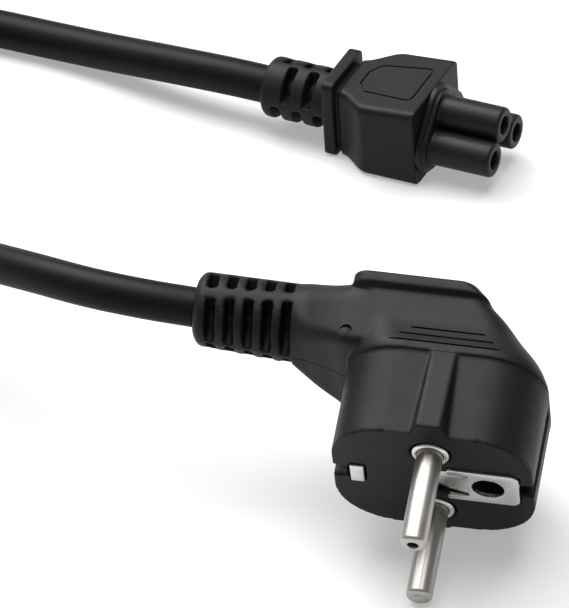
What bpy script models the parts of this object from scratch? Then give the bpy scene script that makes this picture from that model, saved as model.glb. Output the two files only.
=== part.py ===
"""Mains lead: a cloverleaf appliance connector, a cord and an angled earthed plug.

Metres, +Z up. The lead lies on a level floor at Z = 0. The origin is under the
middle of the box that holds the connector and the plug.
"""
import math

import bmesh
import bpy
from mathutils import Matrix, Vector

MM = 0.001
GAP = 0.3 * MM
SIDES = 48
OVERCUT = 1.0 * MM

# Cord
CORD_DIAMETER = 7.4 * MM
CORD_LIFT = 0.05 * MM
COIL_CENTRE_X = -121.5 * MM
COIL_CENTRE_Y = 84.0 * MM
COIL_MIDDLE_RADIUS = 37.0 * MM
COIL_TURNS_WIDE = 3
COIL_LAYERS = 2
COIL_TURN_PITCH = 7.5 * MM

# Connector: block, flange and strain relief
BLOCK_LENGTH = 17.6 * MM
BLOCK_WIDTH = 20.6 * MM
BLOCK_HEIGHT = 16.5 * MM
BLOCK_EDGE = 1.4 * MM
BLOCK_FRONT_EDGE = 0.5 * MM
NECK_WIDTH = 12.6 * MM
NECK_DROP = 2.0 * MM
FLARE_LENGTH = 7.0 * MM
GROOVE_LENGTH = 0.8 * MM
GROOVE_DEPTH = 1.0 * MM
FLANGE_LENGTH = 2.4 * MM
FLANGE_WIDTH = 14.0 * MM
FLANGE_EDGE = 1.3 * MM
RELIEF_LENGTH = 14.2 * MM
RELIEF_DIAMETER = 11.8 * MM
RELIEF_END_ROUND = 1.0 * MM
RELIEF_WALL = 2.0 * MM
RELIEF_SLOT_WIDTH = 1.7 * MM
RELIEF_SLOT_PITCH = 4.5 * MM
RELIEF_SLOT_ARC = math.radians(80)
RELIEF_FIRST_SLOT = 3.4 * MM

# Connector: nose with three barrels
BARREL_DIAMETER = 6.8 * MM
BARREL_REACH = 14.4 * MM
BARREL_EDGE = 0.6 * MM
PAIR_SPACING = 10.0 * MM
PAIR_DROP = 1.8 * MM
EARTH_BARREL_RISE = 4.9 * MM
PAD_STEP = 0.8 * MM
PAD_MARGIN = 1.9 * MM
PAD_STEP_MARGIN = 0.8 * MM
CONTACT_HOLE_DIAMETER = 3.5 * MM
CONTACT_HOLE_DEPTH = 11.0 * MM
SLEEVE_WALL = 0.35 * MM
SLEEVE_SETBACK = 2.5 * MM

# Plug: the part that enters the wall socket
FACE_WIDTH = 36.6 * MM
FACE_HEIGHT = 31.6 * MM
FACE_CORNER = 11.0 * MM
FACE_EDGE = 0.5 * MM
INSERT_DEPTH = 17.5 * MM
RIB_TOP_WIDTH = 4.5 * MM
RIB_FOOT_WIDTH = 6.6 * MM
RIB_RISE = 3.2 * MM
LOWER_RIB_RISE = 0.8 * MM
RIB_OVERLAP = 0.4 * MM
SIDE_CHANNEL_WIDTH = 3.4 * MM
SIDE_CHANNEL_DEPTH = 2.2 * MM
SIDE_CHANNEL_END = 0.5 * MM

# Plug: grip and arm
GRIP_STEP = 0.6 * MM
WAIST_INSET = 2.4 * MM
WAIST_RISE = 0.3 * MM
RIM_INSET = 1.5 * MM
RIM_EDGE = 0.5 * MM
RIM_BAND = 2.5 * MM
RIM_STEP = 0.6 * MM
VALLEY_END = 5.6 * MM
SHOULDER_ROUND = 0.3 * MM
SHOULDER_LENGTH = 0.5 * MM
BODY_DEPTH = 34.0 * MM
ARM_AXIS_DEPTH = 29.2 * MM
ARM_SLOPE = math.radians(3.0)
ARM_LENGTH = 30.0 * MM
ARM_INSET = 0.1 * MM
ARM_RELIEF_LENGTH = 18.5 * MM
ARM_RELIEF_DIAMETER = 14.6 * MM
ARM_RELIEF_END_DIAMETER = 13.6 * MM
ARM_RELIEF_END_ROUND = 1.6 * MM
ARM_SLOT_COUNT = 5
ARM_SLOT_WIDTH = 1.75 * MM
ARM_SLOT_PITCH = 3.5 * MM
ARM_SLOT_ARC = math.radians(77)
ARM_SLOT_ANGLE = math.radians(41)
ARM_FIRST_SLOT = 3.2 * MM
ARM_RELIEF_WALL = 3.0 * MM

# Plug: metal
PIN_DIAMETER = 4.8 * MM
PIN_LENGTH = 19.0 * MM
PIN_SPACING = 19.0 * MM
PIN_TIP_ROUND = 0.9 * MM
PIN_TIP_HOLE_DIAMETER = 1.8 * MM
PIN_TIP_HOLE_DEPTH = 1.5 * MM
PIN_ROOT = 6.0 * MM
COLLAR_DIAMETER = 6.9 * MM
COLLAR_RISE = 0.5 * MM
COLLAR_ROOT = 1.2 * MM
EARTH_HOLE_OFFSET = 10.0 * MM
EARTH_HOLE_DIAMETER = 7.1 * MM
EARTH_HOLE_DEPTH = 19.5 * MM
EARTH_SOCKET_WALL = 0.3 * MM
PLATE_LENGTH = 13.2 * MM
PLATE_WIDTH = 9.8 * MM
PLATE_OUTER_END = 15.7 * MM
PLATE_THICKNESS = 0.8 * MM
PLATE_CORNER = 1.6 * MM
PLATE_MOUTH_WIDTH = 5.2 * MM
PLATE_MOUTH_DEPTH = 3.9 * MM
CLIP_INNER = 12.5 * MM
CLIP_OUTER = 15.1 * MM
CLIP_WIDTH = 5.2 * MM
CLIP_RISE = 0.4 * MM
CLIP_DEPTH = 2.4 * MM
STRIP_THICKNESS = 0.8 * MM
STRIP_SETBACK = 2.6 * MM
STRIP_SIDE_GAP = 0.4 * MM

# Where the connector and the plug lie
CONNECTOR_X = 15.97 * MM
CONNECTOR_Y = 62.62 * MM
CONNECTOR_TURN = math.radians(-28.0)
PLUG_X = 9.07 * MM
PLUG_Y = -62.48 * MM
PLUG_TILT = math.radians(22.2)
PLUG_LEAN = math.radians(3.5)
PLUG_TURN = math.radians(-13.0)

# Free stretches of the cord, from each strain relief to the coil
CONNECTOR_RUN = [
    (-15.3, 79.2, 8.25),
    (-22.9, 83.3, 8.2),
    (-34.5, 90.6, 7.0),
    (-46.0, 98.9, 5.0),
    (-57.0, 106.0, 3.9),
    (-69.0, 112.2, 3.8),
    (-82.0, 117.6, 3.8),
]
PLUG_RUN = [
    (-31.6, -24.4, 32.2),
    (-40.7, -21.8, 33.0),
    (-50.8, -16.8, 32.9),
    (-61.0, -8.0, 30.8),
    (-70.5, 2.8, 26.8),
    (-80.5, 14.4, 21.8),
    (-92.5, 25.8, 16.9),
    (-107.2, 35.1, 13.6),
]


def clear_scene():
    """Remove whatever the file holds."""
    for item in list(bpy.data.objects):
        bpy.data.objects.remove(item, do_unlink=True)


def make_material(name, colour, roughness, metallic=0.0):
    """Return a Principled material of one colour."""
    material = bpy.data.materials.new(name)
    material.use_nodes = True
    shader = material.node_tree.nodes["Principled BSDF"]
    shader.inputs["Base Color"].default_value = (*colour, 1.0)
    shader.inputs["Roughness"].default_value = roughness
    shader.inputs["Metallic"].default_value = metallic
    material.diffuse_color = (*colour, 1.0)
    return material


def add_object(name, bm, material=None, parent=None):
    """Turn a bmesh into a named object under its parent."""
    bmesh.ops.recalc_face_normals(bm, faces=bm.faces)
    mesh = bpy.data.meshes.new(name)
    bm.to_mesh(mesh)
    bm.free()
    if material:
        mesh.materials.append(material)
    mesh.shade_smooth()
    mesh.set_sharp_from_angle(angle=math.radians(35))
    item = bpy.data.objects.new(name, mesh)
    bpy.context.scene.collection.objects.link(item)
    item.parent = parent
    return item


def add_cutter(name, bm, parent):
    """Make a hidden cutter."""
    cutter = add_object(name, bm, parent=parent)
    cutter.hide_render = True
    cutter.display_type = "WIRE"
    return cutter


def boolean(target, tool, operation="DIFFERENCE"):
    """Cut or join one object with another, and keep the modifier."""
    modifier = target.modifiers.new(tool.name, "BOOLEAN")
    modifier.operation = operation
    modifier.solver = "EXACT"
    modifier.object = tool


def add_empty(name, place, rotation):
    """Make the empty that carries one end of the lead."""
    empty = bpy.data.objects.new(name, None)
    bpy.context.scene.collection.objects.link(empty)
    empty.location = place
    empty.rotation_euler = rotation
    return empty


def rounded_section(left, right, low, high, corner, count=SIDES):
    """Return points round a rectangle with round corners, by direction from its middle."""
    half_u = (right - left) / 2
    half_v = (high - low) / 2
    corner = min(corner, half_u, half_v)
    middle = Vector(((right + left) / 2, (high + low) / 2))
    points = []
    for step in range(count):
        angle = 2 * math.pi * (step + 0.5) / count
        ray = Vector((math.cos(angle), math.sin(angle)))
        reach = min(half_u / max(abs(ray.x), 1e-9), half_v / max(abs(ray.y), 1e-9))
        inner = Vector((half_u - corner, half_v - corner))
        if abs(ray.x) * reach > inner.x and abs(ray.y) * reach > inner.y:
            along = abs(ray.x) * inner.x + abs(ray.y) * inner.y
            reach = along + math.sqrt(along ** 2 - inner.length_squared + corner ** 2)
        points.append(middle + ray * reach)
    return points


def loft(stations, to_space):
    """Join a row of sections with quads and close both ends."""
    bm = bmesh.new()
    rings = []
    for position, outline in stations:
        rings.append([bm.verts.new(to_space(position, point)) for point in outline])
    for low, high in zip(rings, rings[1:]):
        for index in range(len(low)):
            after = (index + 1) % len(low)
            bm.faces.new((low[index], low[after], high[after], high[index]))
    bm.faces.new(rings[0][::-1])
    bm.faces.new(rings[-1])
    return bm


def along_x(position, point):
    """Place a section that faces X: the point is across and up."""
    return Vector((position, point.x, point.y))


def along_z(position, point):
    """Place a section that faces Z."""
    return Vector((point.x, point.y, position))


def square_section(width, low, high, corner):
    """Return a section centred across, from low to high."""
    return rounded_section(-width / 2, width / 2, low, high, corner)


def round_section(radius, height):
    """Return a circle about the axis at a height."""
    return rounded_section(-radius, radius, height - radius, height + radius, radius)


def smooth_step(share):
    """Ease from 0 to 1."""
    share = min(max(share, 0.0), 1.0)
    return share * share * (3 - 2 * share)


def box(low, high):
    """Return a bmesh box between two corners."""
    bm = bmesh.new()
    bmesh.ops.create_cube(bm, size=1.0)
    low = Vector(low)
    high = Vector(high)
    size = high - low
    bmesh.ops.scale(bm, vec=size, verts=bm.verts)
    bmesh.ops.translate(bm, vec=(low + high) / 2, verts=bm.verts)
    return bm


def turned(profile, steps=SIDES, angle=2 * math.pi):
    """Spin a closed profile of (radius, height) points about Z, and close what stays open."""
    bm = bmesh.new()
    verts = [bm.verts.new((radius, 0.0, height)) for radius, height in profile]
    edges = [bm.edges.new((verts[index - 1], verts[index])) for index in range(len(verts))]
    full = abs(angle - 2 * math.pi) < 1e-6
    bmesh.ops.spin(bm, geom=[*verts, *edges], cent=(0, 0, 0), axis=(0, 0, 1), angle=angle,
                   steps=steps, use_merge=full, use_duplicate=False)
    bmesh.ops.remove_doubles(bm, verts=bm.verts, dist=0.00001)
    wires = [edge for edge in bm.edges if edge.is_wire]
    bmesh.ops.delete(bm, geom=wires, context="EDGES")
    if not full:
        bmesh.ops.holes_fill(bm, edges=[edge for edge in bm.edges if edge.is_boundary])
    return bm


def rod(radius, low, high, low_edge=0.0, high_edge=0.0, steps=32):
    """Return a solid rod along Z with chamfered ends."""
    stations = []
    if low_edge:
        stations.append((low, radius - low_edge))
    stations.append((low + low_edge, radius))
    stations.append((high - high_edge, radius))
    if high_edge:
        stations.append((high, radius - high_edge))
    return loft([(height, rounded_section(-size, size, -size, size, size, steps))
                 for height, size in stations], along_z)


def annular_sector(inner, outer, width, arc, steps=8):
    """Return a slot cutter: part of a ring about Z, centred on +X."""
    profile = [(inner, -width / 2), (outer, -width / 2), (outer, width / 2), (inner, width / 2)]
    bm = turned(profile, steps, arc)
    bmesh.ops.rotate(bm, cent=(0, 0, 0), matrix=Matrix.Rotation(-arc / 2, 3, "Z"), verts=bm.verts)
    return bm


def merge_into(target, source):
    """Add one bmesh's geometry to another."""
    mesh = bpy.data.meshes.new("part of a cutter")
    source.to_mesh(mesh)
    source.free()
    target.from_mesh(mesh)
    bpy.data.meshes.remove(mesh)


def slot_rows(inner, outer, width, arc, rows):
    """Return cutters for rows of slots; each row is an angle and its places along the axis."""
    bm = bmesh.new()
    for angle, places in rows:
        for place in places:
            sector = annular_sector(inner, outer, width, arc)
            turn = Matrix.Translation((0, 0, place)) @ Matrix.Rotation(angle, 4, "Z")
            bmesh.ops.transform(sector, matrix=turn, verts=sector.verts)
            merge_into(bm, sector)
    return bm


def connector_height():
    """Height of the connector's axis over the floor."""
    return BLOCK_HEIGHT / 2


def connector_back():
    """Place of the strain relief's cord end along the connector's axis."""
    return -(BLOCK_LENGTH + GROOVE_LENGTH + FLANGE_LENGTH + RELIEF_LENGTH)


def block_sections():
    """Sections of the block from its neck to its front."""
    stations = []
    neck = -BLOCK_LENGTH
    shares = [0.0, 0.15, 0.3, 0.45, 0.6, 0.75, 0.9, 1.0]
    for share in shares:
        place = neck + FLARE_LENGTH * share
        width = NECK_WIDTH + (BLOCK_WIDTH - NECK_WIDTH) * smooth_step(share)
        top = BLOCK_HEIGHT - NECK_DROP * (1 - (place - neck) / BLOCK_LENGTH)
        stations.append((place, square_section(width, 0.0, top, BLOCK_EDGE)))
    place = -BLOCK_FRONT_EDGE
    stations.append((place, square_section(BLOCK_WIDTH, 0.0, BLOCK_HEIGHT, BLOCK_EDGE)))
    stations.append((0.0, square_section(BLOCK_WIDTH - 2 * BLOCK_FRONT_EDGE, BLOCK_FRONT_EDGE,
                                         BLOCK_HEIGHT - BLOCK_FRONT_EDGE, BLOCK_EDGE)))
    return stations


def build_connector_body(material, parent):
    """One moulding: strain relief, flange, groove and block."""
    height = connector_height()
    back = connector_back()
    radius = RELIEF_DIAMETER / 2
    flange_back = back + RELIEF_LENGTH
    flange_front = flange_back + FLANGE_LENGTH
    flange = square_section(FLANGE_WIDTH, 0.0, BLOCK_HEIGHT, FLANGE_EDGE)
    neck_top = BLOCK_HEIGHT - NECK_DROP - GROOVE_DEPTH
    groove = square_section(NECK_WIDTH - 2 * GROOVE_DEPTH, GROOVE_DEPTH, neck_top, FLANGE_EDGE)
    stations = [
        (back, round_section(radius - RELIEF_END_ROUND, height)),
        (back + RELIEF_END_ROUND * 0.3, round_section(radius - RELIEF_END_ROUND * 0.3, height)),
        (back + RELIEF_END_ROUND, round_section(radius, height)),
        (flange_back, round_section(radius, height)),
        (flange_back, flange),
        (flange_front, flange),
        (flange_front, groove),
        (-BLOCK_LENGTH, groove),
    ]
    stations.extend(block_sections())
    body = add_object("connector_body", loft(stations, along_x), material, parent)

    first = back + RELIEF_FIRST_SLOT
    half_pitch = RELIEF_SLOT_PITCH / 2
    long_row = [first + half_pitch + RELIEF_SLOT_PITCH * step for step in range(2)]
    short_row = [first + RELIEF_SLOT_PITCH * step for step in range(3)]
    rows = [(math.radians(45), long_row), (math.radians(135), short_row),
            (math.radians(225), long_row), (math.radians(315), short_row)]
    slots = slot_rows(radius - RELIEF_WALL, radius + OVERCUT, RELIEF_SLOT_WIDTH, RELIEF_SLOT_ARC, rows)
    stand = Matrix.Translation((0, 0, height)) @ Matrix.Rotation(math.radians(90), 4, "Y")
    bmesh.ops.transform(slots, matrix=stand, verts=slots.verts)
    boolean(body, add_cutter("connector_slots", slots, parent))
    return body


def barrel_centres():
    """Centres of the three barrels: across, up."""
    pair_height = connector_height() - PAIR_DROP
    half = PAIR_SPACING / 2
    return {
        "line": Vector((-half, pair_height)),
        "neutral": Vector((half, pair_height)),
        "earth": Vector((0.0, pair_height + EARTH_BARREL_RISE)),
    }


def hull_outline(centres, radius, arc_steps=8):
    """Outline round three circles of one radius, anticlockwise."""
    points = []
    count = len(centres)
    for index, centre in enumerate(centres):
        before = centre - centres[index - 1]
        after = centres[(index + 1) % count] - centre
        start = math.atan2(before.y, before.x) - math.pi / 2
        end = math.atan2(after.y, after.x) - math.pi / 2
        while end < start:
            end += 2 * math.pi
        for step in range(arc_steps + 1):
            angle = start + (end - start) * step / arc_steps
            points.append(centre + Vector((math.cos(angle), math.sin(angle))) * radius)
    return points


def build_connector_nose(material, parent):
    """The insert with its stepped pad and the three barrels."""
    centres = barrel_centres()
    ring = [centres["line"], centres["neutral"], centres["earth"]]
    radius = BARREL_DIAMETER / 2
    outer = hull_outline(ring, radius + PAD_MARGIN)
    inner = hull_outline(ring, radius + PAD_MARGIN - PAD_STEP_MARGIN)
    pad = loft([(GAP, outer), (GAP + PAD_STEP, outer), (GAP + PAD_STEP, inner),
                (GAP + 2 * PAD_STEP, inner)], along_x)
    nose = add_object("connector_nose", pad, material, parent)
    barrels = bmesh.new()
    holes = bmesh.new()
    stand = Matrix.Rotation(math.radians(90), 4, "Y")
    for centre in ring:
        place = Matrix.Translation((0, centre.x, centre.y)) @ stand
        barrel = rod(radius, GAP + PAD_STEP, BARREL_REACH, high_edge=BARREL_EDGE)
        bmesh.ops.transform(barrel, matrix=place, verts=barrel.verts)
        merge_into(barrels, barrel)
        hole = rod(CONTACT_HOLE_DIAMETER / 2, BARREL_REACH - CONTACT_HOLE_DEPTH, BARREL_REACH + OVERCUT)
        bmesh.ops.transform(hole, matrix=place, verts=hole.verts)
        merge_into(holes, hole)
    boolean(nose, add_cutter("barrel_union", barrels, parent), "UNION")
    boolean(nose, add_cutter("contact_holes", holes, parent))
    return nose


def build_contacts(material, parent):
    """The metal sleeve inside each barrel."""
    outer = CONTACT_HOLE_DIAMETER / 2 - GAP
    inner = outer - SLEEVE_WALL
    low = BARREL_REACH - CONTACT_HOLE_DEPTH + GAP
    high = BARREL_REACH - SLEEVE_SETBACK
    for name, centre in barrel_centres().items():
        sleeve = turned([(inner, low), (outer, low), (outer, high), (inner, high)], 20)
        place = Matrix.Translation((0, centre.x, centre.y)) @ Matrix.Rotation(math.radians(90), 4, "Y")
        bmesh.ops.transform(sleeve, matrix=place, verts=sleeve.verts)
        add_object("contact_sleeve_" + name, sleeve, material, parent)


def plug_body_sections():
    """Sections of the plug's body from its back to its face."""
    half = FACE_WIDTH / 2
    face = FACE_HEIGHT / 2
    grip = face + GRIP_STEP
    waist = face - WAIST_INSET
    rim = face - RIM_INSET
    back = BODY_DEPTH
    depth = back - INSERT_DEPTH
    band = back - RIM_BAND
    # Each row: depth, left edge and right edge as shares of the half width, half height, corner share
    rows = [
        (back, -1.04, 0.14, rim - RIM_EDGE, 0.18),
        (back - RIM_EDGE, -1.06, 0.19, rim, 0.20),
        (band, -1.07, 0.32, rim, 0.24),
        (band - RIM_STEP, -1.07, 0.36, waist + WAIST_RISE, 0.26),
        (back - VALLEY_END, -1.05, 0.52, waist, 0.32),
        (back - depth * 0.55, -1.03, 0.70, waist + WAIST_RISE, 0.38),
        (back - depth * 0.75, -1.01, 0.88, (waist + grip) / 2, 0.48),
        (back - depth * 0.90, -1.00, 0.97, grip - SHOULDER_ROUND, 0.56),
        (INSERT_DEPTH + SHOULDER_LENGTH, -1.00, 1.01, grip, 0.60),
    ]
    stations = []
    for place, left, right, half_height, corner in rows:
        outline = rounded_section(left * half, right * half, -half_height, half_height, corner * half)
        stations.append((-place, outline))
    insert = rounded_section(-half, half, -face, face, FACE_CORNER)
    stations.append((-INSERT_DEPTH, insert))
    stations.append((-FACE_EDGE, insert))
    stations.append((0.0, rounded_section(-half + FACE_EDGE, half - FACE_EDGE, -face + FACE_EDGE,
                                          face - FACE_EDGE, FACE_CORNER - FACE_EDGE)))
    return stations


def arm_axis(distance):
    """Depth of the arm's axis at a distance from the pins' plane."""
    return -(ARM_AXIS_DEPTH + (distance - ARM_LENGTH) * math.tan(ARM_SLOPE))


def arm_sections():
    """Sections of the arm and its strain relief, from inside the body outwards."""
    radius = ARM_RELIEF_DIAMETER / 2
    root = FACE_HEIGHT / 2 - WAIST_INSET - ARM_INSET
    # Each row in millimetres: distance, low and high depth, then the share of the root's height, corner
    rows = [
        (14.0, -33.0, -19.0, 1.00, 3.2),
        (19.0, -33.4, -19.3, 0.92, 3.4),
        (22.0, -34.2, -20.4, 0.72, 3.7),
        (25.0, -35.2, -21.2, 0.43, 4.1),
        (28.0, -36.1, -21.8, 0.14, 5.2),
    ]
    stations = []
    for distance, low, high, share, corner in rows:
        half_height = radius + (root - radius) * share
        section = rounded_section(low * MM, high * MM, -half_height, half_height, corner * MM)
        stations.append((-distance * MM, section))
    reach = ARM_LENGTH + ARM_RELIEF_LENGTH
    end_radius = ARM_RELIEF_END_DIAMETER / 2
    ends = [
        (ARM_LENGTH, radius),
        (reach - ARM_RELIEF_END_ROUND, end_radius),
        (reach - ARM_RELIEF_END_ROUND * 0.35, end_radius - ARM_RELIEF_END_ROUND * 0.35),
        (reach, end_radius - ARM_RELIEF_END_ROUND),
    ]
    for distance, size in ends:
        depth = arm_axis(distance)
        section = rounded_section(depth - size, depth + size, -size, size, size)
        stations.append((-distance, section))
    return stations


def along_arm(position, point):
    """Place an arm section: the point is depth and height."""
    return Vector((position, point.y, point.x))


def rib_section(rise):
    """Cross-section of the upper guide rib where it stands this high over the flat side."""
    flat = FACE_HEIGHT / 2
    slope = (RIB_FOOT_WIDTH - RIB_TOP_WIDTH) / 2 / rise
    low = RIB_FOOT_WIDTH / 2 + slope * OVERCUT
    high = RIB_TOP_WIDTH / 2
    return [Vector((-low, flat - OVERCUT)), Vector((low, flat - OVERCUT)),
            Vector((high, flat + rise)), Vector((-high, flat + rise))]


def build_ribs(parent):
    """Both guide ribs, highest at the face and level with the grip behind."""
    bm = bmesh.new()
    for turn, rise in ((0.0, RIB_RISE), (math.pi, LOWER_RIB_RISE)):
        rib = loft([(-INSERT_DEPTH - RIB_OVERLAP, rib_section(GRIP_STEP * 0.6)),
                    (0.0, rib_section(rise))], along_z)
        bmesh.ops.rotate(rib, cent=(0, 0, 0), matrix=Matrix.Rotation(turn, 3, "Z"), verts=rib.verts)
        merge_into(bm, rib)
    return add_cutter("guide_ribs", bm, parent)


def plate_outline(grow=0.0):
    """Outline of the forked earth plate, with its open end toward the pins."""
    outer = PLATE_OUTER_END + grow
    inner = PLATE_OUTER_END - PLATE_LENGTH - grow
    half = PLATE_WIDTH / 2 + grow
    mouth = PLATE_MOUTH_WIDTH / 2 - grow
    corner = PLATE_CORNER
    deep = inner + PLATE_MOUTH_DEPTH
    points = [Vector((inner, mouth)), Vector((inner, half - corner / 2)), Vector((inner + corner / 2, half))]
    points += [Vector((outer - corner, half)), Vector((outer - corner * 0.29, half - corner * 0.29)),
               Vector((outer, half - corner))]
    mirrored = [Vector((point.x, -point.y)) for point in reversed(points)]
    floor = [Vector((deep, -mouth)), Vector((deep, mouth))]
    return points + mirrored + floor


def earth_cutters(parent):
    """Cutters for the earth hole, the plate's seat, the clip's seat and the side channels."""
    bm = bmesh.new()
    half = FACE_WIDTH / 2
    hole = rod(EARTH_HOLE_DIAMETER / 2, -EARTH_HOLE_DEPTH, OVERCUT)
    bmesh.ops.translate(hole, vec=(EARTH_HOLE_OFFSET, 0, 0), verts=hole.verts)
    merge_into(bm, hole)
    channel = SIDE_CHANNEL_WIDTH / 2
    for side in (-1, 1):
        low, high = sorted((side * (half - SIDE_CHANNEL_DEPTH), side * (half + OVERCUT)))
        merge_into(bm, box((low, -channel, -INSERT_DEPTH + SIDE_CHANNEL_END), (high, channel, OVERCUT)))
    return add_cutter("earth_openings", bm, parent)


def seat_cutters(parent):
    """Cutters for the seats of the plate, the clip and the collars."""
    bm = bmesh.new()
    depth = PLATE_THICKNESS / 2 + GAP
    seat = loft([(-depth, plate_outline(GAP)), (OVERCUT, plate_outline(GAP))], along_z)
    merge_into(bm, seat)
    half = CLIP_WIDTH / 2 + GAP
    merge_into(bm, box((-CLIP_OUTER - GAP, -half, -CLIP_DEPTH - GAP), (-CLIP_INNER + GAP, half, OVERCUT)))
    for side in (-1, 1):
        well = rod(COLLAR_DIAMETER / 2 + GAP, -COLLAR_ROOT - GAP, OVERCUT)
        bore = rod(PIN_DIAMETER / 2 + GAP, -PIN_ROOT - GAP, 0.0)
        for piece in (well, bore):
            bmesh.ops.translate(piece, vec=(0, side * PIN_SPACING / 2, 0), verts=piece.verts)
        merge_into(bm, well)
        cutter = add_cutter("pin_bore_%d" % side, bore, parent)
        yield cutter
    yield add_cutter("face_seats", bm, parent)


def build_plug_body(material, parent):
    """One moulding: the insert with its ribs, the grip, the arm and the strain relief."""
    body = add_object("plug_body", loft(plug_body_sections(), along_z), material, parent)
    arm = add_cutter("plug_arm", loft(arm_sections(), along_arm), parent)
    boolean(body, arm, "UNION")
    boolean(body, build_ribs(parent), "UNION")
    boolean(body, earth_cutters(parent))
    for cutter in seat_cutters(parent):
        boolean(body, cutter)
    radius = ARM_RELIEF_DIAMETER / 2
    places = [ARM_SLOT_PITCH * step for step in range(ARM_SLOT_COUNT)]
    middles = [ARM_SLOT_ANGLE, math.pi - ARM_SLOT_ANGLE, math.pi + ARM_SLOT_ANGLE, -ARM_SLOT_ANGLE]
    rows = [(angle, places) for angle in middles]
    slots = slot_rows(radius - ARM_RELIEF_WALL, radius + OVERCUT, ARM_SLOT_WIDTH, ARM_SLOT_ARC, rows)
    first = ARM_LENGTH + ARM_RELIEF_LENGTH - ARM_FIRST_SLOT
    lay = (Matrix.Translation((-first, 0, arm_axis(first)))
           @ Matrix.Rotation(math.radians(90) + ARM_SLOPE, 4, "Y"))
    bmesh.ops.transform(slots, matrix=lay, verts=slots.verts)
    boolean(body, add_cutter("arm_slots", slots, parent))
    return body


def build_pins(metal, ring_metal, parent):
    """The two pins and their bright collars."""
    radius = PIN_DIAMETER / 2
    for name, side in (("upper", 1), ("lower", -1)):
        shift = (0, side * PIN_SPACING / 2, 0)
        hole = PIN_TIP_HOLE_DIAMETER / 2
        tip = PIN_LENGTH
        profile = [(0.0, -PIN_ROOT), (radius, -PIN_ROOT), (radius, tip - PIN_TIP_ROUND),
                   (radius - PIN_TIP_ROUND * 0.3, tip - PIN_TIP_ROUND * 0.3),
                   (radius - PIN_TIP_ROUND, tip), (hole, tip), (hole, tip - PIN_TIP_HOLE_DEPTH),
                   (0.0, tip - PIN_TIP_HOLE_DEPTH)]
        pin = turned(profile, 32)
        bmesh.ops.translate(pin, vec=shift, verts=pin.verts)
        add_object("pin_" + name, pin, metal, parent)
        inner = radius + GAP
        outer = COLLAR_DIAMETER / 2
        collar = turned([(inner, -COLLAR_ROOT), (outer, -COLLAR_ROOT), (outer, COLLAR_RISE * 0.5),
                         (outer - COLLAR_RISE * 0.5, COLLAR_RISE), (inner, COLLAR_RISE)], 32)
        bmesh.ops.translate(collar, vec=shift, verts=collar.verts)
        add_object("pin_collar_" + name, collar, ring_metal, parent)


def build_earth_metal(metal, parent):
    """The forked plate, the clip on the cord side, the hole's socket and the side strips."""
    low = -PLATE_THICKNESS / 2
    plate = loft([(low, plate_outline()), (low + PLATE_THICKNESS, plate_outline())], along_z)
    plate = add_object("earth_plate", plate, metal, parent)
    hole = rod(EARTH_HOLE_DIAMETER / 2 - EARTH_SOCKET_WALL - GAP, -OVERCUT, 2 * OVERCUT)
    bmesh.ops.translate(hole, vec=(EARTH_HOLE_OFFSET, 0, 0), verts=hole.verts)
    boolean(plate, add_cutter("plate_hole", hole, parent))

    outer = EARTH_HOLE_DIAMETER / 2 - GAP
    inner = outer - EARTH_SOCKET_WALL
    high = low - GAP
    bottom = -EARTH_HOLE_DEPTH + GAP
    socket = turned([(inner, bottom), (outer, bottom), (outer, high), (inner, high)], 32)
    bmesh.ops.translate(socket, vec=(EARTH_HOLE_OFFSET, 0, 0), verts=socket.verts)
    add_object("earth_socket", socket, metal, parent)

    half = CLIP_WIDTH / 2
    clip = box((-CLIP_OUTER, -half, -CLIP_DEPTH), (-CLIP_INNER, half, CLIP_RISE))
    bmesh.ops.bevel(clip, geom=[edge for edge in clip.edges if is_top_edge(edge, CLIP_RISE)],
                    offset=0.5 * MM, segments=2, profile=0.5, affect="EDGES")
    add_object("earth_clip", clip, metal, parent)

    floor = FACE_WIDTH / 2 - SIDE_CHANNEL_DEPTH + GAP
    half = SIDE_CHANNEL_WIDTH / 2 - STRIP_SIDE_GAP
    for name, side in (("cord_side", -1), ("far_side", 1)):
        low, high = sorted((side * floor, side * (floor + STRIP_THICKNESS)))
        strip = box((low, -half, -INSERT_DEPTH + SIDE_CHANNEL_END + GAP), (high, half, -STRIP_SETBACK))
        add_object("earth_strip_" + name, strip, metal, parent)


def is_top_edge(edge, height):
    """Say whether an edge lies along Y at a height."""
    first, last = edge.verts
    level = abs(first.co.z - height) < 1e-6 and abs(last.co.z - height) < 1e-6
    return level and abs(first.co.x - last.co.x) < 1e-6


def set_on_floor(empty):
    """Lift an end of the lead until its lowest point touches the floor."""
    bpy.context.view_layer.update()
    graph = bpy.context.evaluated_depsgraph_get()
    lowest = 1.0
    for child in empty.children:
        if child.hide_render:
            continue
        shape = child.evaluated_get(graph)
        matrix = child.matrix_world
        lowest = min(lowest, min((matrix @ vert.co).z for vert in shape.data.vertices))
    empty.location.z -= lowest


def smooth_route(points, spacing):
    """Read points from a smooth curve through the route's own points."""
    knots = [Vector(point) * MM for point in points]
    knots = [2 * knots[0] - knots[1], *knots, 2 * knots[-1] - knots[-2]]
    dense = []
    for index in range(1, len(knots) - 2):
        before, start, end, after = knots[index - 1:index + 3]
        for step in range(40):
            share = step / 40
            dense.append(0.5 * ((2 * start) + (end - before) * share
                                + (2 * before - 5 * start + 4 * end - after) * share ** 2
                                + (3 * start - before - 3 * end + after) * share ** 3))
    dense.append(knots[-2])
    total = sum((b - a).length for a, b in zip(dense, dense[1:]))
    count = max(2, round(total / spacing))
    wanted = [total * step / count for step in range(count + 1)]
    route = [dense[0]]
    walked = 0.0
    for a, b in zip(dense, dense[1:]):
        length = (b - a).length
        while len(route) < count and walked + length >= wanted[len(route)]:
            route.append(a.lerp(b, (wanted[len(route)] - walked) / length))
        walked += length
    route.append(dense[-1])
    return route


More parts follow.
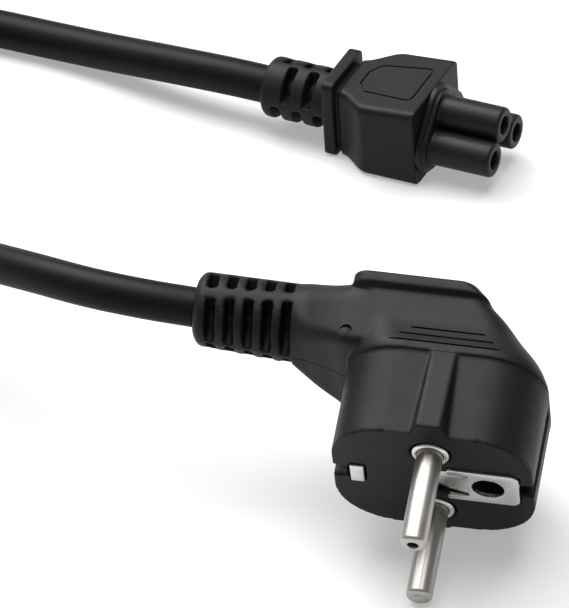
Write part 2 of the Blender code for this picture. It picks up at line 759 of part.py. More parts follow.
def build_cord_run(name, points, material):
    """A plain round tube along an uncoiled stretch of the cord."""
    route = smooth_route(points, CORD_DIAMETER * 2)
    curve = bpy.data.curves.new(name, "CURVE")
    curve.dimensions = "3D"
    curve.bevel_depth = CORD_DIAMETER / 2
    curve.bevel_resolution = 2
    curve.use_fill_caps = True
    spline = curve.splines.new("POLY")
    spline.points.add(len(route) - 1)
    for point, place in zip(spline.points, route):
        point.co = (*place, 1.0)
    curve.materials.append(material)
    item = bpy.data.objects.new(name, curve)
    bpy.context.scene.collection.objects.link(item)
    return item


def build_coil(material):
    """The stored length as one turned ring."""
    half_width = (COIL_TURN_PITCH * (COIL_TURNS_WIDE - 1) + CORD_DIAMETER) / 2
    inner = COIL_MIDDLE_RADIUS - half_width
    outer = COIL_MIDDLE_RADIUS + half_width
    top = CORD_DIAMETER * COIL_LAYERS + CORD_LIFT * 2
    corner = CORD_DIAMETER * 0.29
    profile = [(inner + corner, 0.0), (outer - corner, 0.0), (outer, corner), (outer, top - corner),
               (outer - corner, top), (inner + corner, top), (inner, top - corner), (inner, corner)]
    ring = turned(profile)
    bmesh.ops.translate(ring, vec=(COIL_CENTRE_X, COIL_CENTRE_Y, 0), verts=ring.verts)
    return add_object("cord_coil", ring, material)


def main():
    """Build the lead."""
    clear_scene()
    rubber = make_material("black moulding", (0.035, 0.035, 0.037), 0.55)
    insert = make_material("black insert", (0.028, 0.028, 0.030), 0.5)
    sheath = make_material("black cord sheath", (0.030, 0.030, 0.032), 0.45)
    steel = make_material("nickel plate", (0.62, 0.60, 0.57), 0.3, 1.0)
    bright = make_material("bright plate", (0.75, 0.74, 0.72), 0.25, 1.0)

    connector = add_empty("connector_place", (CONNECTOR_X, CONNECTOR_Y, 0), (0, 0, CONNECTOR_TURN))
    build_connector_body(rubber, connector)
    build_connector_nose(insert, connector)
    build_contacts(bright, connector)
    set_on_floor(connector)

    plug_turns = (math.radians(90) + PLUG_TILT, PLUG_LEAN, PLUG_TURN)
    plug = add_empty("plug_place", (PLUG_X, PLUG_Y, 0), plug_turns)
    build_plug_body(rubber, plug)
    build_pins(steel, bright, plug)
    build_earth_metal(bright, plug)
    set_on_floor(plug)

    build_coil(sheath)
    build_cord_run("cord_connector_run", CONNECTOR_RUN, sheath)
    build_cord_run("cord_plug_run", PLUG_RUN, sheath)


main()
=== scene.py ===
"""Looks of a mains lead: a cloverleaf connector, its cord and an angled earthed plug."""

import logging
import math
from dataclasses import dataclass, field
from enum import Enum
from typing import Callable, Iterable, Iterator, Sequence, Union

import bmesh
import bpy
from mathutils import Euler, Matrix, Vector


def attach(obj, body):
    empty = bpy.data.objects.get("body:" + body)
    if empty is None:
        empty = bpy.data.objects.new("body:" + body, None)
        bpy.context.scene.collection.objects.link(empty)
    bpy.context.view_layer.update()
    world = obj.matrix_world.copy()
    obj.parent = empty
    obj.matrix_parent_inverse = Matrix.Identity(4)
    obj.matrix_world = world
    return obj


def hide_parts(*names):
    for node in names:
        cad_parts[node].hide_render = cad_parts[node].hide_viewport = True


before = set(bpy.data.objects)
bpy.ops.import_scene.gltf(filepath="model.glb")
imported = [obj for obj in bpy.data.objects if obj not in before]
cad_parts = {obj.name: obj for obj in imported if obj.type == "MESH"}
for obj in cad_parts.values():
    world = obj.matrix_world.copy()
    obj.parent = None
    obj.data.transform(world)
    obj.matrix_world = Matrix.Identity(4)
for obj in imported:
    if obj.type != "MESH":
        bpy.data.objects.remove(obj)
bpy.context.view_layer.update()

MM = 0.001
BODY = "root"
FLOOR_REST = 0.01 * MM  # no piece goes lower than this over the floor
SLOT_CORNER = 0.55 * MM  # radius of a slot's corners
MERGE_DISTANCE = 0.005 * MM  # points of a turned form that are nearer become one
TOUCH_DISTANCE = 1e-7  # a point this near to a line lies on it
TINY = 1e-9  # keeps a divisor above zero
SHARP_ANGLE = math.radians(38)  # edges above it are shaded sharp
BEVEL_ANGLE = math.radians(50)  # edges of the earth plate above it are rounded
Z_TO_X = Matrix.Rotation(math.radians(90), 4, "Y")  # lays a form that stands along Z along X
LOG = logging.getLogger("lead")

Form = bmesh.types.BMesh
Number = Union[float, "Field"]
Lay = Callable[[float, Vector], Vector]


class Side(Enum):
    """Which side of the plug's middle a piece is on."""

    NEAR = -1
    FAR = 1

    def span(self, inner: float, outer: float) -> list[float]:
        """Give two distances from the middle as places on this side, the lower first."""
        return sorted((self.value * inner, self.value * outer))


class TipStyle(Enum):
    """How the end of a plug pin is finished."""

    DRILLED = "drilled"
    NUB = "nub"


class Field:
    """A shader value that takes part in Python expressions."""

    def __init__(self, recipe: "Recipe", socket: bpy.types.NodeSocket) -> None:
        """Wrap one output socket of a recipe."""
        self.recipe = recipe
        self.socket = socket

    def __add__(self, other: Number) -> "Field":
        """Add a value to this one."""
        return self.recipe.maths("ADD", self, other)

    def __radd__(self, other: Number) -> "Field":
        """Add this value to a plain number."""
        return self.recipe.maths("ADD", other, self)

    def __sub__(self, other: Number) -> "Field":
        """Take a value from this one."""
        return self.recipe.maths("SUBTRACT", self, other)

    def __mul__(self, other: Number) -> "Field":
        """Multiply this value."""
        return self.recipe.maths("MULTIPLY", self, other)

    def clamped(self) -> "Field":
        """Keep the value between 0 and 1."""
        return self.recipe.maths("ADD", self, 0.0, clamp=True)


class Recipe:
    """The node tree of one material."""

    def __init__(self, name: str) -> None:
        """Start a material with its Principled shader.

        Args:
            name: The material's name.
        """
        self.material = bpy.data.materials.new(name)
        self.material.use_nodes = True
        self.tree = self.material.node_tree
        self.shader = self.tree.nodes["Principled BSDF"]

    def node(self, kind: str, settings: dict | None = None, inputs: dict | None = None) -> bpy.types.Node:
        """Add a node, set it up, then feed its sockets.

        Args:
            kind: The node's type.
            settings: Values of the node's own properties.
            inputs: Values or fields by socket name or number.

        Returns:
            The new node.
        """
        node = self.tree.nodes.new(kind)
        for name, value in (settings or {}).items():
            setattr(node, name, value)
        for key, value in (inputs or {}).items():
            self.feed(node.inputs[key], value)
        return node

    def feed(self, socket: bpy.types.NodeSocket, value: object) -> None:
        """Set a socket's value, or link a field to it."""
        if isinstance(value, Field):
            self.tree.links.new(value.socket, socket)
        elif isinstance(value, bpy.types.NodeSocket):
            self.tree.links.new(value, socket)
        else:
            socket.default_value = value

    def maths(self, operation: str, first: Number, second: Number, clamp: bool = False) -> Field:
        """Add a Math node.

        Args:
            operation: The node's operation.
            first: First value.
            second: Second value.
            clamp: Whether the result stays between 0 and 1.

        Returns:
            The result as a field.
        """
        settings = {"operation": operation, "use_clamp": clamp}
        return Field(self, self.node("ShaderNodeMath", settings, {0: first, 1: second}).outputs[0])

    def noise(self, scale: float, detail: float = 2.0, coordinates: object = None) -> Field:
        """Add a noise texture on Object coordinates.

        Args:
            scale: Waves per metre.
            detail: Octaves.
            coordinates: Another coordinate socket, or none for plain Object ones.

        Returns:
            The noise factor.
        """
        place = coordinates or self.node("ShaderNodeTexCoord").outputs["Object"]
        node = self.node("ShaderNodeTexNoise", None, {"Vector": place, "Scale": scale, "Detail": detail})
        return Field(self, node.outputs["Fac"])

    def mix_colours(self, share: Number, first: Sequence[float],
                    second: Sequence[float]) -> bpy.types.NodeSocket:
        """Mix two colours by a field."""
        node = self.node("ShaderNodeMix", {"data_type": "RGBA"},
                         {0: share, 6: (*first, 1.0), 7: (*second, 1.0)})
        return node.outputs[2]

    def bump(self, height: Field, strength: float, distance: float) -> None:
        """Feed a height field to the shader's normal."""
        node = self.node("ShaderNodeBump", None,
                         {"Strength": strength, "Distance": distance, "Height": height})
        self.feed(self.shader.inputs["Normal"], node.outputs["Normal"])

    def dress(self, **values: object) -> None:
        """Set the Principled shader's sockets; a name's underscores stand for spaces."""
        for name, value in values.items():
            self.feed(self.shader.inputs[name.replace("_", " ")], value)


class Finish:
    """A procedural finish, mixed from nodes."""

    name: str

    def mix(self, recipe: Recipe) -> None:
        """Mix the finish; each kind does it in its own way."""
        raise NotImplementedError

    def material(self) -> bpy.types.Material:
        """Make the material.

        Returns:
            The finished material.
        """
        recipe = Recipe(self.name)
        self.mix(recipe)
        return recipe.material


@dataclass(frozen=True)
class MouldedPvc(Finish):
    """Black moulding compound with a fine spark-eroded grain."""

    name: str
    dark: tuple[float, float, float] = (0.0035, 0.0035, 0.0037)
    light: tuple[float, float, float] = (0.0105, 0.0105, 0.0110)
    roughness: float = 0.50
    grain_pitch: float = 0.46 * MM
    grain_depth: float = 0.065 * MM
    specular: float = 0.15

    def mix(self, recipe: Recipe) -> None:
        """Mix the compound's tone, sheen and grain."""
        grain = recipe.noise(1.0 / self.grain_pitch, 3.0)
        blotch = recipe.noise(90.0, 3.0)
        flow = recipe.noise(320.0, 2.0)
        tone = (grain * 0.55 + blotch * 0.45).clamped()
        recipe.dress(
            Base_Color=recipe.mix_colours(tone, self.dark, self.light),
            Roughness=(self.roughness + (blotch - 0.5) * 0.16 + (flow - 0.5) * 0.10).clamped(),
            Specular_IOR_Level=self.specular,
        )
        recipe.bump(grain * 0.8 + flow * 0.6, 0.55, self.grain_depth)


@dataclass(frozen=True)
class CordSheath(Finish):
    """Black sheath of the cord, smoother than the mouldings and drawn lengthwise."""

    name: str
    dark: tuple[float, float, float] = (0.0030, 0.0030, 0.0032)
    light: tuple[float, float, float] = (0.0060, 0.0060, 0.0063)
    roughness: float = 0.46

    def mix(self, recipe: Recipe) -> None:
        """Mix the sheath's tone, sheen and skin."""
        fine = recipe.noise(2400.0, 2.0)
        broad = recipe.noise(45.0, 3.0)
        recipe.dress(
            Base_Color=recipe.mix_colours((fine * 0.4 + broad * 0.6).clamped(), self.dark, self.light),
            Roughness=(self.roughness + (broad - 0.5) * 0.18).clamped(),
            Specular_IOR_Level=0.10,
        )
        recipe.bump(fine * 0.6 + broad * 0.9, 0.35, 0.03 * MM)


@dataclass(frozen=True)
class PlatedMetal(Finish):
    """Plated metal with fine drawing lines along one direction."""

    name: str
    dark: tuple[float, float, float]
    light: tuple[float, float, float]
    roughness: float
    turn: tuple[float, float, float] = (0.0, 0.0, 0.0)

    def mix(self, recipe: Recipe) -> None:
        """Mix the plating's tone, sheen and drawing lines."""
        place = recipe.node("ShaderNodeTexCoord").outputs["Object"]
        lay = recipe.node("ShaderNodeMapping", {"vector_type": "TEXTURE"},
                          {"Vector": place, "Rotation": self.turn, "Scale": (1.0, 1.0, 14.0)})
        lines = recipe.noise(3800.0, 3.0, lay.outputs["Vector"])
        cloud = recipe.noise(420.0, 3.0)
        tone = (lines * 0.3 + cloud * 0.7).clamped()
        recipe.dress(
            Base_Color=recipe.mix_colours(tone, self.dark, self.light),
            Metallic=1.0,
            Roughness=(self.roughness + (lines - 0.5) * 0.06 + (cloud - 0.5) * 0.10).clamped(),
        )
        recipe.bump(lines, 0.04, 0.002 * MM)


@dataclass(frozen=True)
class PaleFloor(Finish):
    """Plain pale sweep under the lead."""

    name: str = "pale sweep"
    tone: float = 0.42
    glow: float = 0.36

    def mix(self, recipe: Recipe) -> None:
        """Mix the floor's even tone and its glow."""
        cloud = recipe.noise(6.0, 2.0)
        pale = (self.tone,) * 3
        paler = (self.tone + 0.02,) * 3
        recipe.dress(Base_Color=recipe.mix_colours(cloud, pale, paler), Roughness=0.9,
                     Specular_IOR_Level=0.1, Emission_Color=(1.0, 1.0, 1.0, 1.0),
                     Emission_Strength=self.glow)


@dataclass(frozen=True)
class Section:
    """A rectangle with round corners that a lofted form passes through."""

    place: float
    left: float
    right: float
    low: float
    high: float
    corner: float
    left_corner: float = -1.0

    def values(self) -> tuple[float, ...]:
        """All the sizes in their order."""
        return (self.place, self.left, self.right, self.low, self.high, self.corner, self.left_corner)

    def point(self, angle: float) -> Vector:
        """Find where a ray from the middle meets the outline.

        Args:
            angle: The ray's direction.

        Returns:
            The point, across and up.
        """
        half_u = (self.right - self.left) / 2
        half_v = (self.high - self.low) / 2
        ray = Vector((math.cos(angle), math.sin(angle)))
        wanted = self.left_corner if ray.x < 0 and self.left_corner > 0 else self.corner
        corner = min(wanted, half_u, half_v)
        reach = min(half_u / max(abs(ray.x), TINY), half_v / max(abs(ray.y), TINY))
        inner = Vector((half_u - corner, half_v - corner))
        if abs(ray.x) * reach > inner.x and abs(ray.y) * reach > inner.y:
            along = abs(ray.x) * inner.x + abs(ray.y) * inner.y
            reach = along + math.sqrt(max(along ** 2 - inner.length_squared + corner ** 2, 0.0))
        return Vector(((self.right + self.left) / 2, (self.high + self.low) / 2)) + ray * reach


def along_x(position: float, point: Vector) -> Vector:
    """Lay a section that faces X: the point is across and up."""
    return Vector((position, point.x, point.y))


def along_z(position: float, point: Vector) -> Vector:
    """Lay a section that faces Z."""
    return Vector((point.x, point.y, position))


def along_arm(position: float, point: Vector) -> Vector:
    """Lay a section across the plug's arm: the point is depth and height."""
    return Vector((position, point.y, point.x))


def eased(sections: Sequence[Section], step: float) -> list[Section]:
    """Read more sections from a smooth curve through the given ones.

    Args:
        sections: The sections that the form passes through.
        step: Distance between the new sections.

    Returns:
        The dense row of sections.
    """
    rows = [Vector(section.values()) for section in sections]
    rows = [rows[0] * 2 - rows[1], *rows, rows[-1] * 2 - rows[-2]]
    dense: list[Section] = []
    for index in range(1, len(rows) - 2):
        before, start, end, after = rows[index - 1:index + 3]
        span = abs(end[0] - start[0])
        count = max(1, round(span / step))
        leave = (end - before) * (span / max(abs(end[0] - before[0]), TINY))
        arrive = (after - start) * (span / max(abs(after[0] - start[0]), TINY))
        for place in range(count):
            share = place / count
            square, cube = share ** 2, share ** 3
            row = (start * (2 * cube - 3 * square + 1) + leave * (cube - 2 * square + share)
                   + end * (3 * square - 2 * cube) + arrive * (cube - square))
            dense.append(Section(*row))
    dense.append(sections[-1])
    return dense


def loft(sections: Sequence[Section], lay: Lay, count: int = 96) -> Form:
    """Extrude a ring from section to section and close both ends.

    Args:
        sections: The sections, in order.
        lay: Puts a section's point into the form's own axes.
        count: Points round each ring.

    Returns:
        The closed form.
    """
    bm = bmesh.new()
    order = bm.verts.layers.int.new("order")
    ring = bmesh.ops.create_circle(bm, cap_ends=True, segments=count, radius=1.0)["verts"]
    for index, vert in enumerate(ring):
        vert[order] = index
    edges = list(bm.edges)
    shape_ring(ring, order, sections[0], lay, count)
    for section in sections[1:]:
        grown = bmesh.ops.extrude_edge_only(bm, edges=edges)["geom"]
        ring = [item for item in grown if isinstance(item, bmesh.types.BMVert)]
        edges = [item for item in grown if isinstance(item, bmesh.types.BMEdge) and item.is_boundary]
        shape_ring(ring, order, section, lay, count)
    bmesh.ops.contextual_create(bm, geom=edges)
    bmesh.ops.recalc_face_normals(bm, faces=bm.faces)
    return bm


def shape_ring(ring: Iterable[bmesh.types.BMVert], order: object, section: Section, lay: Lay,
               count: int) -> None:
    """Move a ring's points onto a section."""
    for vert in ring:
        vert.co = lay(section.place, section.point(2 * math.pi * (vert[order] + 0.5) / count))


def lathe(profile: Sequence[tuple[float, float]], steps: int = 64) -> Form:
    """Spin a closed profile of (radius, height) points about Z.

    Args:
        profile: The profile's corners.
        steps: Facets round the turned form.

    Returns:
        The turned form.
    """
    bm = bmesh.new()
    verts = [bm.verts.new((radius, 0.0, height)) for radius, height in profile]
    edges = [bm.edges.new((verts[index - 1], verts[index])) for index in range(len(verts))]
    bmesh.ops.spin(bm, geom=[*verts, *edges], cent=(0, 0, 0), axis=(0, 0, 1), angle=2 * math.pi,
                   steps=steps, use_merge=True, use_duplicate=False)
    bmesh.ops.remove_doubles(bm, verts=bm.verts, dist=MERGE_DISTANCE)
    wires = [edge for edge in bm.edges if edge.is_wire]
    bmesh.ops.delete(bm, geom=wires, context="EDGES")
    bmesh.ops.recalc_face_normals(bm, faces=bm.faces)
    return bm


def arc(centre: tuple[float, float], radius: float, start: float, end: float,
        steps: int = 5) -> Iterator[tuple[float, float]]:
    """Give points on an arc, with its angles in degrees."""
    for step in range(steps + 1):
        angle = math.radians(start + (end - start) * step / steps)
        yield (centre[0] + radius * math.cos(angle), centre[1] + radius * math.sin(angle))


def brick(low: Sequence[float], high: Sequence[float], round_edge: float = 0.0) -> Form:
    """Make a box between two corners, with its edges rounded.

    Args:
        low: Lowest corner.
        high: Highest corner.
        round_edge: Radius of the edges, or 0 for sharp ones.

    Returns:
        The box.
    """
    bm = bmesh.new()
    bmesh.ops.create_cube(bm, size=1.0)
    bmesh.ops.scale(bm, vec=Vector(high) - Vector(low), verts=bm.verts)
    bmesh.ops.translate(bm, vec=(Vector(low) + Vector(high)) / 2, verts=bm.verts)
    if round_edge:
        bmesh.ops.bevel(bm, geom=bm.edges, offset=round_edge, segments=3, profile=0.5,
                        affect="EDGES", material=-1)
    return bm


def slot_cutter(inner: float, outer: float, width: float, arc_angle: float,
                rows: int = 22) -> Form:
    """Make a cutter for a slot with round ends in a wall round Z, centred on +X.

    Args:
        inner: Radius of the slot's floor.
        outer: Radius that the cutter reaches.
        width: The slot's width along the axis.
        arc_angle: How far round the slot goes.
        rows: Steps along the slot.

    Returns:
        The cutter.
    """
    bm = bmesh.new()
    bmesh.ops.create_grid(bm, x_segments=2, y_segments=rows, size=1.0)
    for vert in bm.verts:
        angle = math.sin(vert.co.y * math.pi / 2) * arc_angle / 2
        rest = max(SLOT_CORNER - (arc_angle / 2 - abs(angle)) * outer, 0.0)
        half = width / 2 - SLOT_CORNER + math.sqrt(max(SLOT_CORNER ** 2 - rest ** 2, 0.0))
        vert.co = (inner * math.cos(angle), inner * math.sin(angle), vert.co.x * half)
    grown = bmesh.ops.extrude_face_region(bm, geom=bm.faces[:])["geom"]
    verts = [item for item in grown if isinstance(item, bmesh.types.BMVert)]
    bmesh.ops.scale(bm, vec=(outer / inner, outer / inner, 1.0), verts=verts)
    bmesh.ops.recalc_face_normals(bm, faces=bm.faces)
    return bm


def slot_at(slot: Form, lay: Matrix, place: float, middle: float) -> Form:
    """Turn a slot's cutter round a strain relief and move it along.

    Args:
        slot: The cutter.
        lay: Lays the relief's axis.
        place: How far along the axis the slot is.
        middle: Its middle round the axis, in degrees.

    Returns:
        The cutter in its place.
    """
    turn = Matrix.Rotation(math.radians(middle), 4, "Z")
    return moved(slot, lay @ Matrix.Translation((0, 0, place)) @ turn)


def ring_cutter(outline: Callable[[float, float], Vector], deep: float, reach: float, low: float,
                high: float, count: int = 160) -> Form:
    """Make a closed band along an outline, to cut a fine line with.

    Args:
        outline: Gives the outline's point at an angle, moved outwards by a distance.
        deep: How far the band goes inside the outline.
        reach: How far it goes outside.
        low: Its lower side.
        high: Its upper side.
        count: Points along the outline.

    Returns:
        The band.
    """
    bm = bmesh.new()
    rings = []
    for grow, level in ((-deep, high), (reach, high), (reach, low), (-deep, low)):
        ring = []
        for step in range(count):
            point = outline(2 * math.pi * (step + 0.5) / count, grow)
            ring.append(bm.verts.new((point.x, point.y, level)))
        rings.append(ring)
    for first, second in zip(rings, [*rings[1:], rings[0]]):
        for step in range(count):
            after = (step + 1) % count
            bm.faces.new((first[step], first[after], second[after], second[step]))
    bmesh.ops.recalc_face_normals(bm, faces=bm.faces)
    return bm


def raised(bm: Form, lift: Sequence[float]) -> Form:
    """Extrude a flat form into a closed one.

    Args:
        bm: The flat form.
        lift: How far it is raised, and which way.

    Returns:
        The closed form.
    """
    grown = bmesh.ops.extrude_face_region(bm, geom=bm.faces[:])["geom"]
    verts = [item for item in grown if isinstance(item, bmesh.types.BMVert)]
    bmesh.ops.translate(bm, vec=lift, verts=verts)
    bmesh.ops.recalc_face_normals(bm, faces=bm.faces)
    return bm


def as_mesh(form: Form) -> bpy.types.Mesh:
    """Turn a form into a mesh as it is."""
    mesh = bpy.data.meshes.new("form")
    form.to_mesh(mesh)
    form.free()
    return mesh


def linked(name: str, data: bpy.types.ID) -> bpy.types.Object:
    """Put a mesh, a curve, a lamp or a lens into the scene."""
    item = bpy.data.objects.new(name, data)
    bpy.context.scene.collection.objects.link(item)
    return item


def gather(forms: Iterable[Form]) -> Form:
    """Put several forms into one."""
    whole = bmesh.new()
    for form in forms:
        mesh = as_mesh(form)
        whole.from_mesh(mesh)
        bpy.data.meshes.remove(mesh)
    return whole


def moved(form: Form, matrix: Matrix) -> Form:
    """Move a form by a matrix and give it back."""
    bmesh.ops.transform(form, matrix=matrix, verts=form.verts)
    return form


class Moulding:
    """A form that is joined, cut and softened by modifiers, then set as one mesh."""

    def __init__(self, name: str, form: Form) -> None:
        """Start from one closed form."""
        self.name = name
        self.item = linked(name, as_mesh(form))
        self.tools: list[bpy.types.Object] = []

    def _combine(self, form: Form, operation: str) -> "Moulding":
        """Add a Boolean with a form."""
        tool = linked(self.name + "_tool", as_mesh(form))
        tool.hide_render = True
        self.tools.append(tool)
        modifier = self.item.modifiers.new(operation, "BOOLEAN")
        modifier.operation = operation
        modifier.solver = "EXACT"
        modifier.object = tool
        return self

    def join(self, form: Form) -> "Moulding":
        """Add a form to the moulding."""
        return self._combine(form, "UNION")

    def cut(self, form: Form) -> "Moulding":
        """Take a form out of the moulding."""
        return self._combine(form, "DIFFERENCE")

    def soften(self, voxel: float, passes: int) -> "Moulding":
        """Give every edge the soft radius of a mould.

        Args:
            voxel: Size of the new facets.
            passes: How many times the surface is relaxed.

        Returns:
            The moulding itself.
        """
        remesh = self.item.modifiers.new("even facets", "REMESH")
        remesh.mode = "VOXEL"
        remesh.voxel_size = voxel
        relax = self.item.modifiers.new("soft edges", "SMOOTH")
        relax.factor = 0.5
        relax.iterations = passes
        return self

    def mesh(self) -> bpy.types.Mesh:
        """Work out the modifiers and clear the tools away.

        Returns:
            The finished mesh, in the moulding's own axes.
        """
        bpy.context.view_layer.update()
        graph = bpy.context.evaluated_depsgraph_get()
        mesh = bpy.data.meshes.new_from_object(self.item.evaluated_get(graph))
        for item in (*self.tools, self.item):
            old = item.data
            bpy.data.objects.remove(item, do_unlink=True)
            bpy.data.meshes.remove(old)
        return mesh


def set_piece(name: str, mesh: bpy.types.Mesh, place: Matrix, finish: bpy.types.Material, slot: str,
              *nodes: str) -> bpy.types.Object:
    """Put a finished mesh into the scene as a piece that stands for CAD nodes.

    Args:
        name: The piece's name.
        mesh: Its mesh in its own axes.
        place: Where those axes lie.
        finish: Its material.
        slot: The record's material slot; not used.
        *nodes: The CAD nodes that it replaces.

    Returns:
        The piece.
    """
    mesh.name = name
    mesh.transform(place)
    for vert in mesh.vertices:
        vert.co.z = max(vert.co.z, FLOOR_REST)
    mesh.materials.clear()
    mesh.materials.append(finish)
    mesh.shade_smooth()
    mesh.set_sharp_from_angle(angle=SHARP_ANGLE)
    piece = linked(name, mesh)
    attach(piece, BODY)
    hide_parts(*nodes)
    LOG.info("%s: %d faces for %s", name, len(mesh.polygons), ", ".join(nodes))
    return piece


@dataclass
class Finishes:
    """The materials of the lead."""

    moulding: bpy.types.Material
    insert: bpy.types.Material
    sheath: bpy.types.Material
    nickel: bpy.types.Material
    bright: bpy.types.Material
    contact: bpy.types.Material

    @classmethod
    def mixed(cls, pin_turn: tuple[float, float, float]) -> "Finishes":
        """Make all the materials.

        Args:
            pin_turn: The turn that lays the drawing lines along the pins.

        Returns:
            The set of finishes.
        """
        return cls(
            moulding=MouldedPvc("black moulding").material(),
            insert=MouldedPvc("black insert", (0.006, 0.006, 0.0063), (0.011, 0.011, 0.0115), 0.43,
                              0.42 * MM, 0.02 * MM).material(),
            sheath=CordSheath("cord sheath").material(),
            nickel=PlatedMetal("satin nickel", (0.38, 0.365, 0.34), (0.50, 0.48, 0.45), 0.40,
                               pin_turn).material(),
            bright=PlatedMetal("bright plate", (0.58, 0.57, 0.55), (0.74, 0.73, 0.71), 0.26,
                               pin_turn).material(),
            contact=PlatedMetal("contact spring", (0.20, 0.19, 0.17), (0.32, 0.31, 0.28), 0.4).material(),
        )


@dataclass
class Studio:
    """Camera, floor and soft light."""

    target: Vector = field(default_factory=lambda: Vector((-15.27, 18.98, 0.0)) * MM)
    elevation: float = math.radians(36.0)
    roll: float = math.radians(4.0)
    distance: float = 1.8
    view_width: float = 0.10636
    sensor: float = 36.0
    floor_half: float = 3.0
    sky: float = 0.25

    def axes(self) -> Matrix:
        """Camera axes: right, up and back."""
        back = Vector((0.0, -math.cos(self.elevation), math.sin(self.elevation)))
        level_up = Vector((0.0, math.sin(self.elevation), math.cos(self.elevation)))
        right = Vector((1.0, 0.0, 0.0)) * math.cos(self.roll) - level_up * math.sin(self.roll)
        up = Vector((1.0, 0.0, 0.0)) * math.sin(self.roll) + level_up * math.cos(self.roll)
        return Matrix((right, up, back)).transposed()

    def build(self) -> None:
        """Set up the view and its light."""
        self._camera()
        self._floor()
        self._light("key", Vector((-0.55, 0.75, 1.05)), size=0.90, power=22.0)
        self._light("top", Vector((0.05, 0.20, 1.30)), size=1.20, power=26.0)
        bpy.context.scene.view_settings.view_transform = "Standard"
        world = bpy.data.worlds.new("studio")
        world.use_nodes = True
        background = world.node_tree.nodes["Background"]
        background.inputs["Color"].default_value = (1.0, 1.0, 1.0, 1.0)
        background.inputs["Strength"].default_value = self.sky
        bpy.context.scene.world = world

    def _camera(self) -> None:
        """Place the camera."""
        lens = bpy.data.cameras.new("view")
        lens.sensor_fit = "HORIZONTAL"
        lens.sensor_width = self.sensor
        lens.lens = self.sensor * self.distance / self.view_width
        lens.clip_start = 0.05
        lens.clip_end = 20.0
        axes = self.axes()
        camera = linked("view", lens)
        camera.matrix_world = Matrix.Translation(self.target + axes.col[2] * self.distance) @ axes.to_4x4()
        bpy.context.scene.camera = camera

    def _floor(self) -> None:
        """Lay the pale floor."""
        bm = bmesh.new()
        bmesh.ops.create_grid(bm, x_segments=1, y_segments=1, size=self.floor_half)
        mesh = as_mesh(bm)
        mesh.name = "floor"
        mesh.materials.append(PaleFloor().material())
        floor = linked("floor", mesh)

    def _light(self, name: str, offset: Vector, size: float, power: float) -> None:
        """Hang a soft square light over the lead.

        Args:
            name: The light's name.
            offset: Its place from the view's target.
            size: Length of its sides.
            power: Its power in watts.
        """
        lamp = bpy.data.lights.new(name, "AREA")
        lamp.shape = "SQUARE"
        lamp.size = size
        lamp.energy = power
        item = linked(name, lamp)
        item.location = self.target + offset
        item.rotation_euler = (-offset).to_track_quat("-Z", "Y").to_euler()


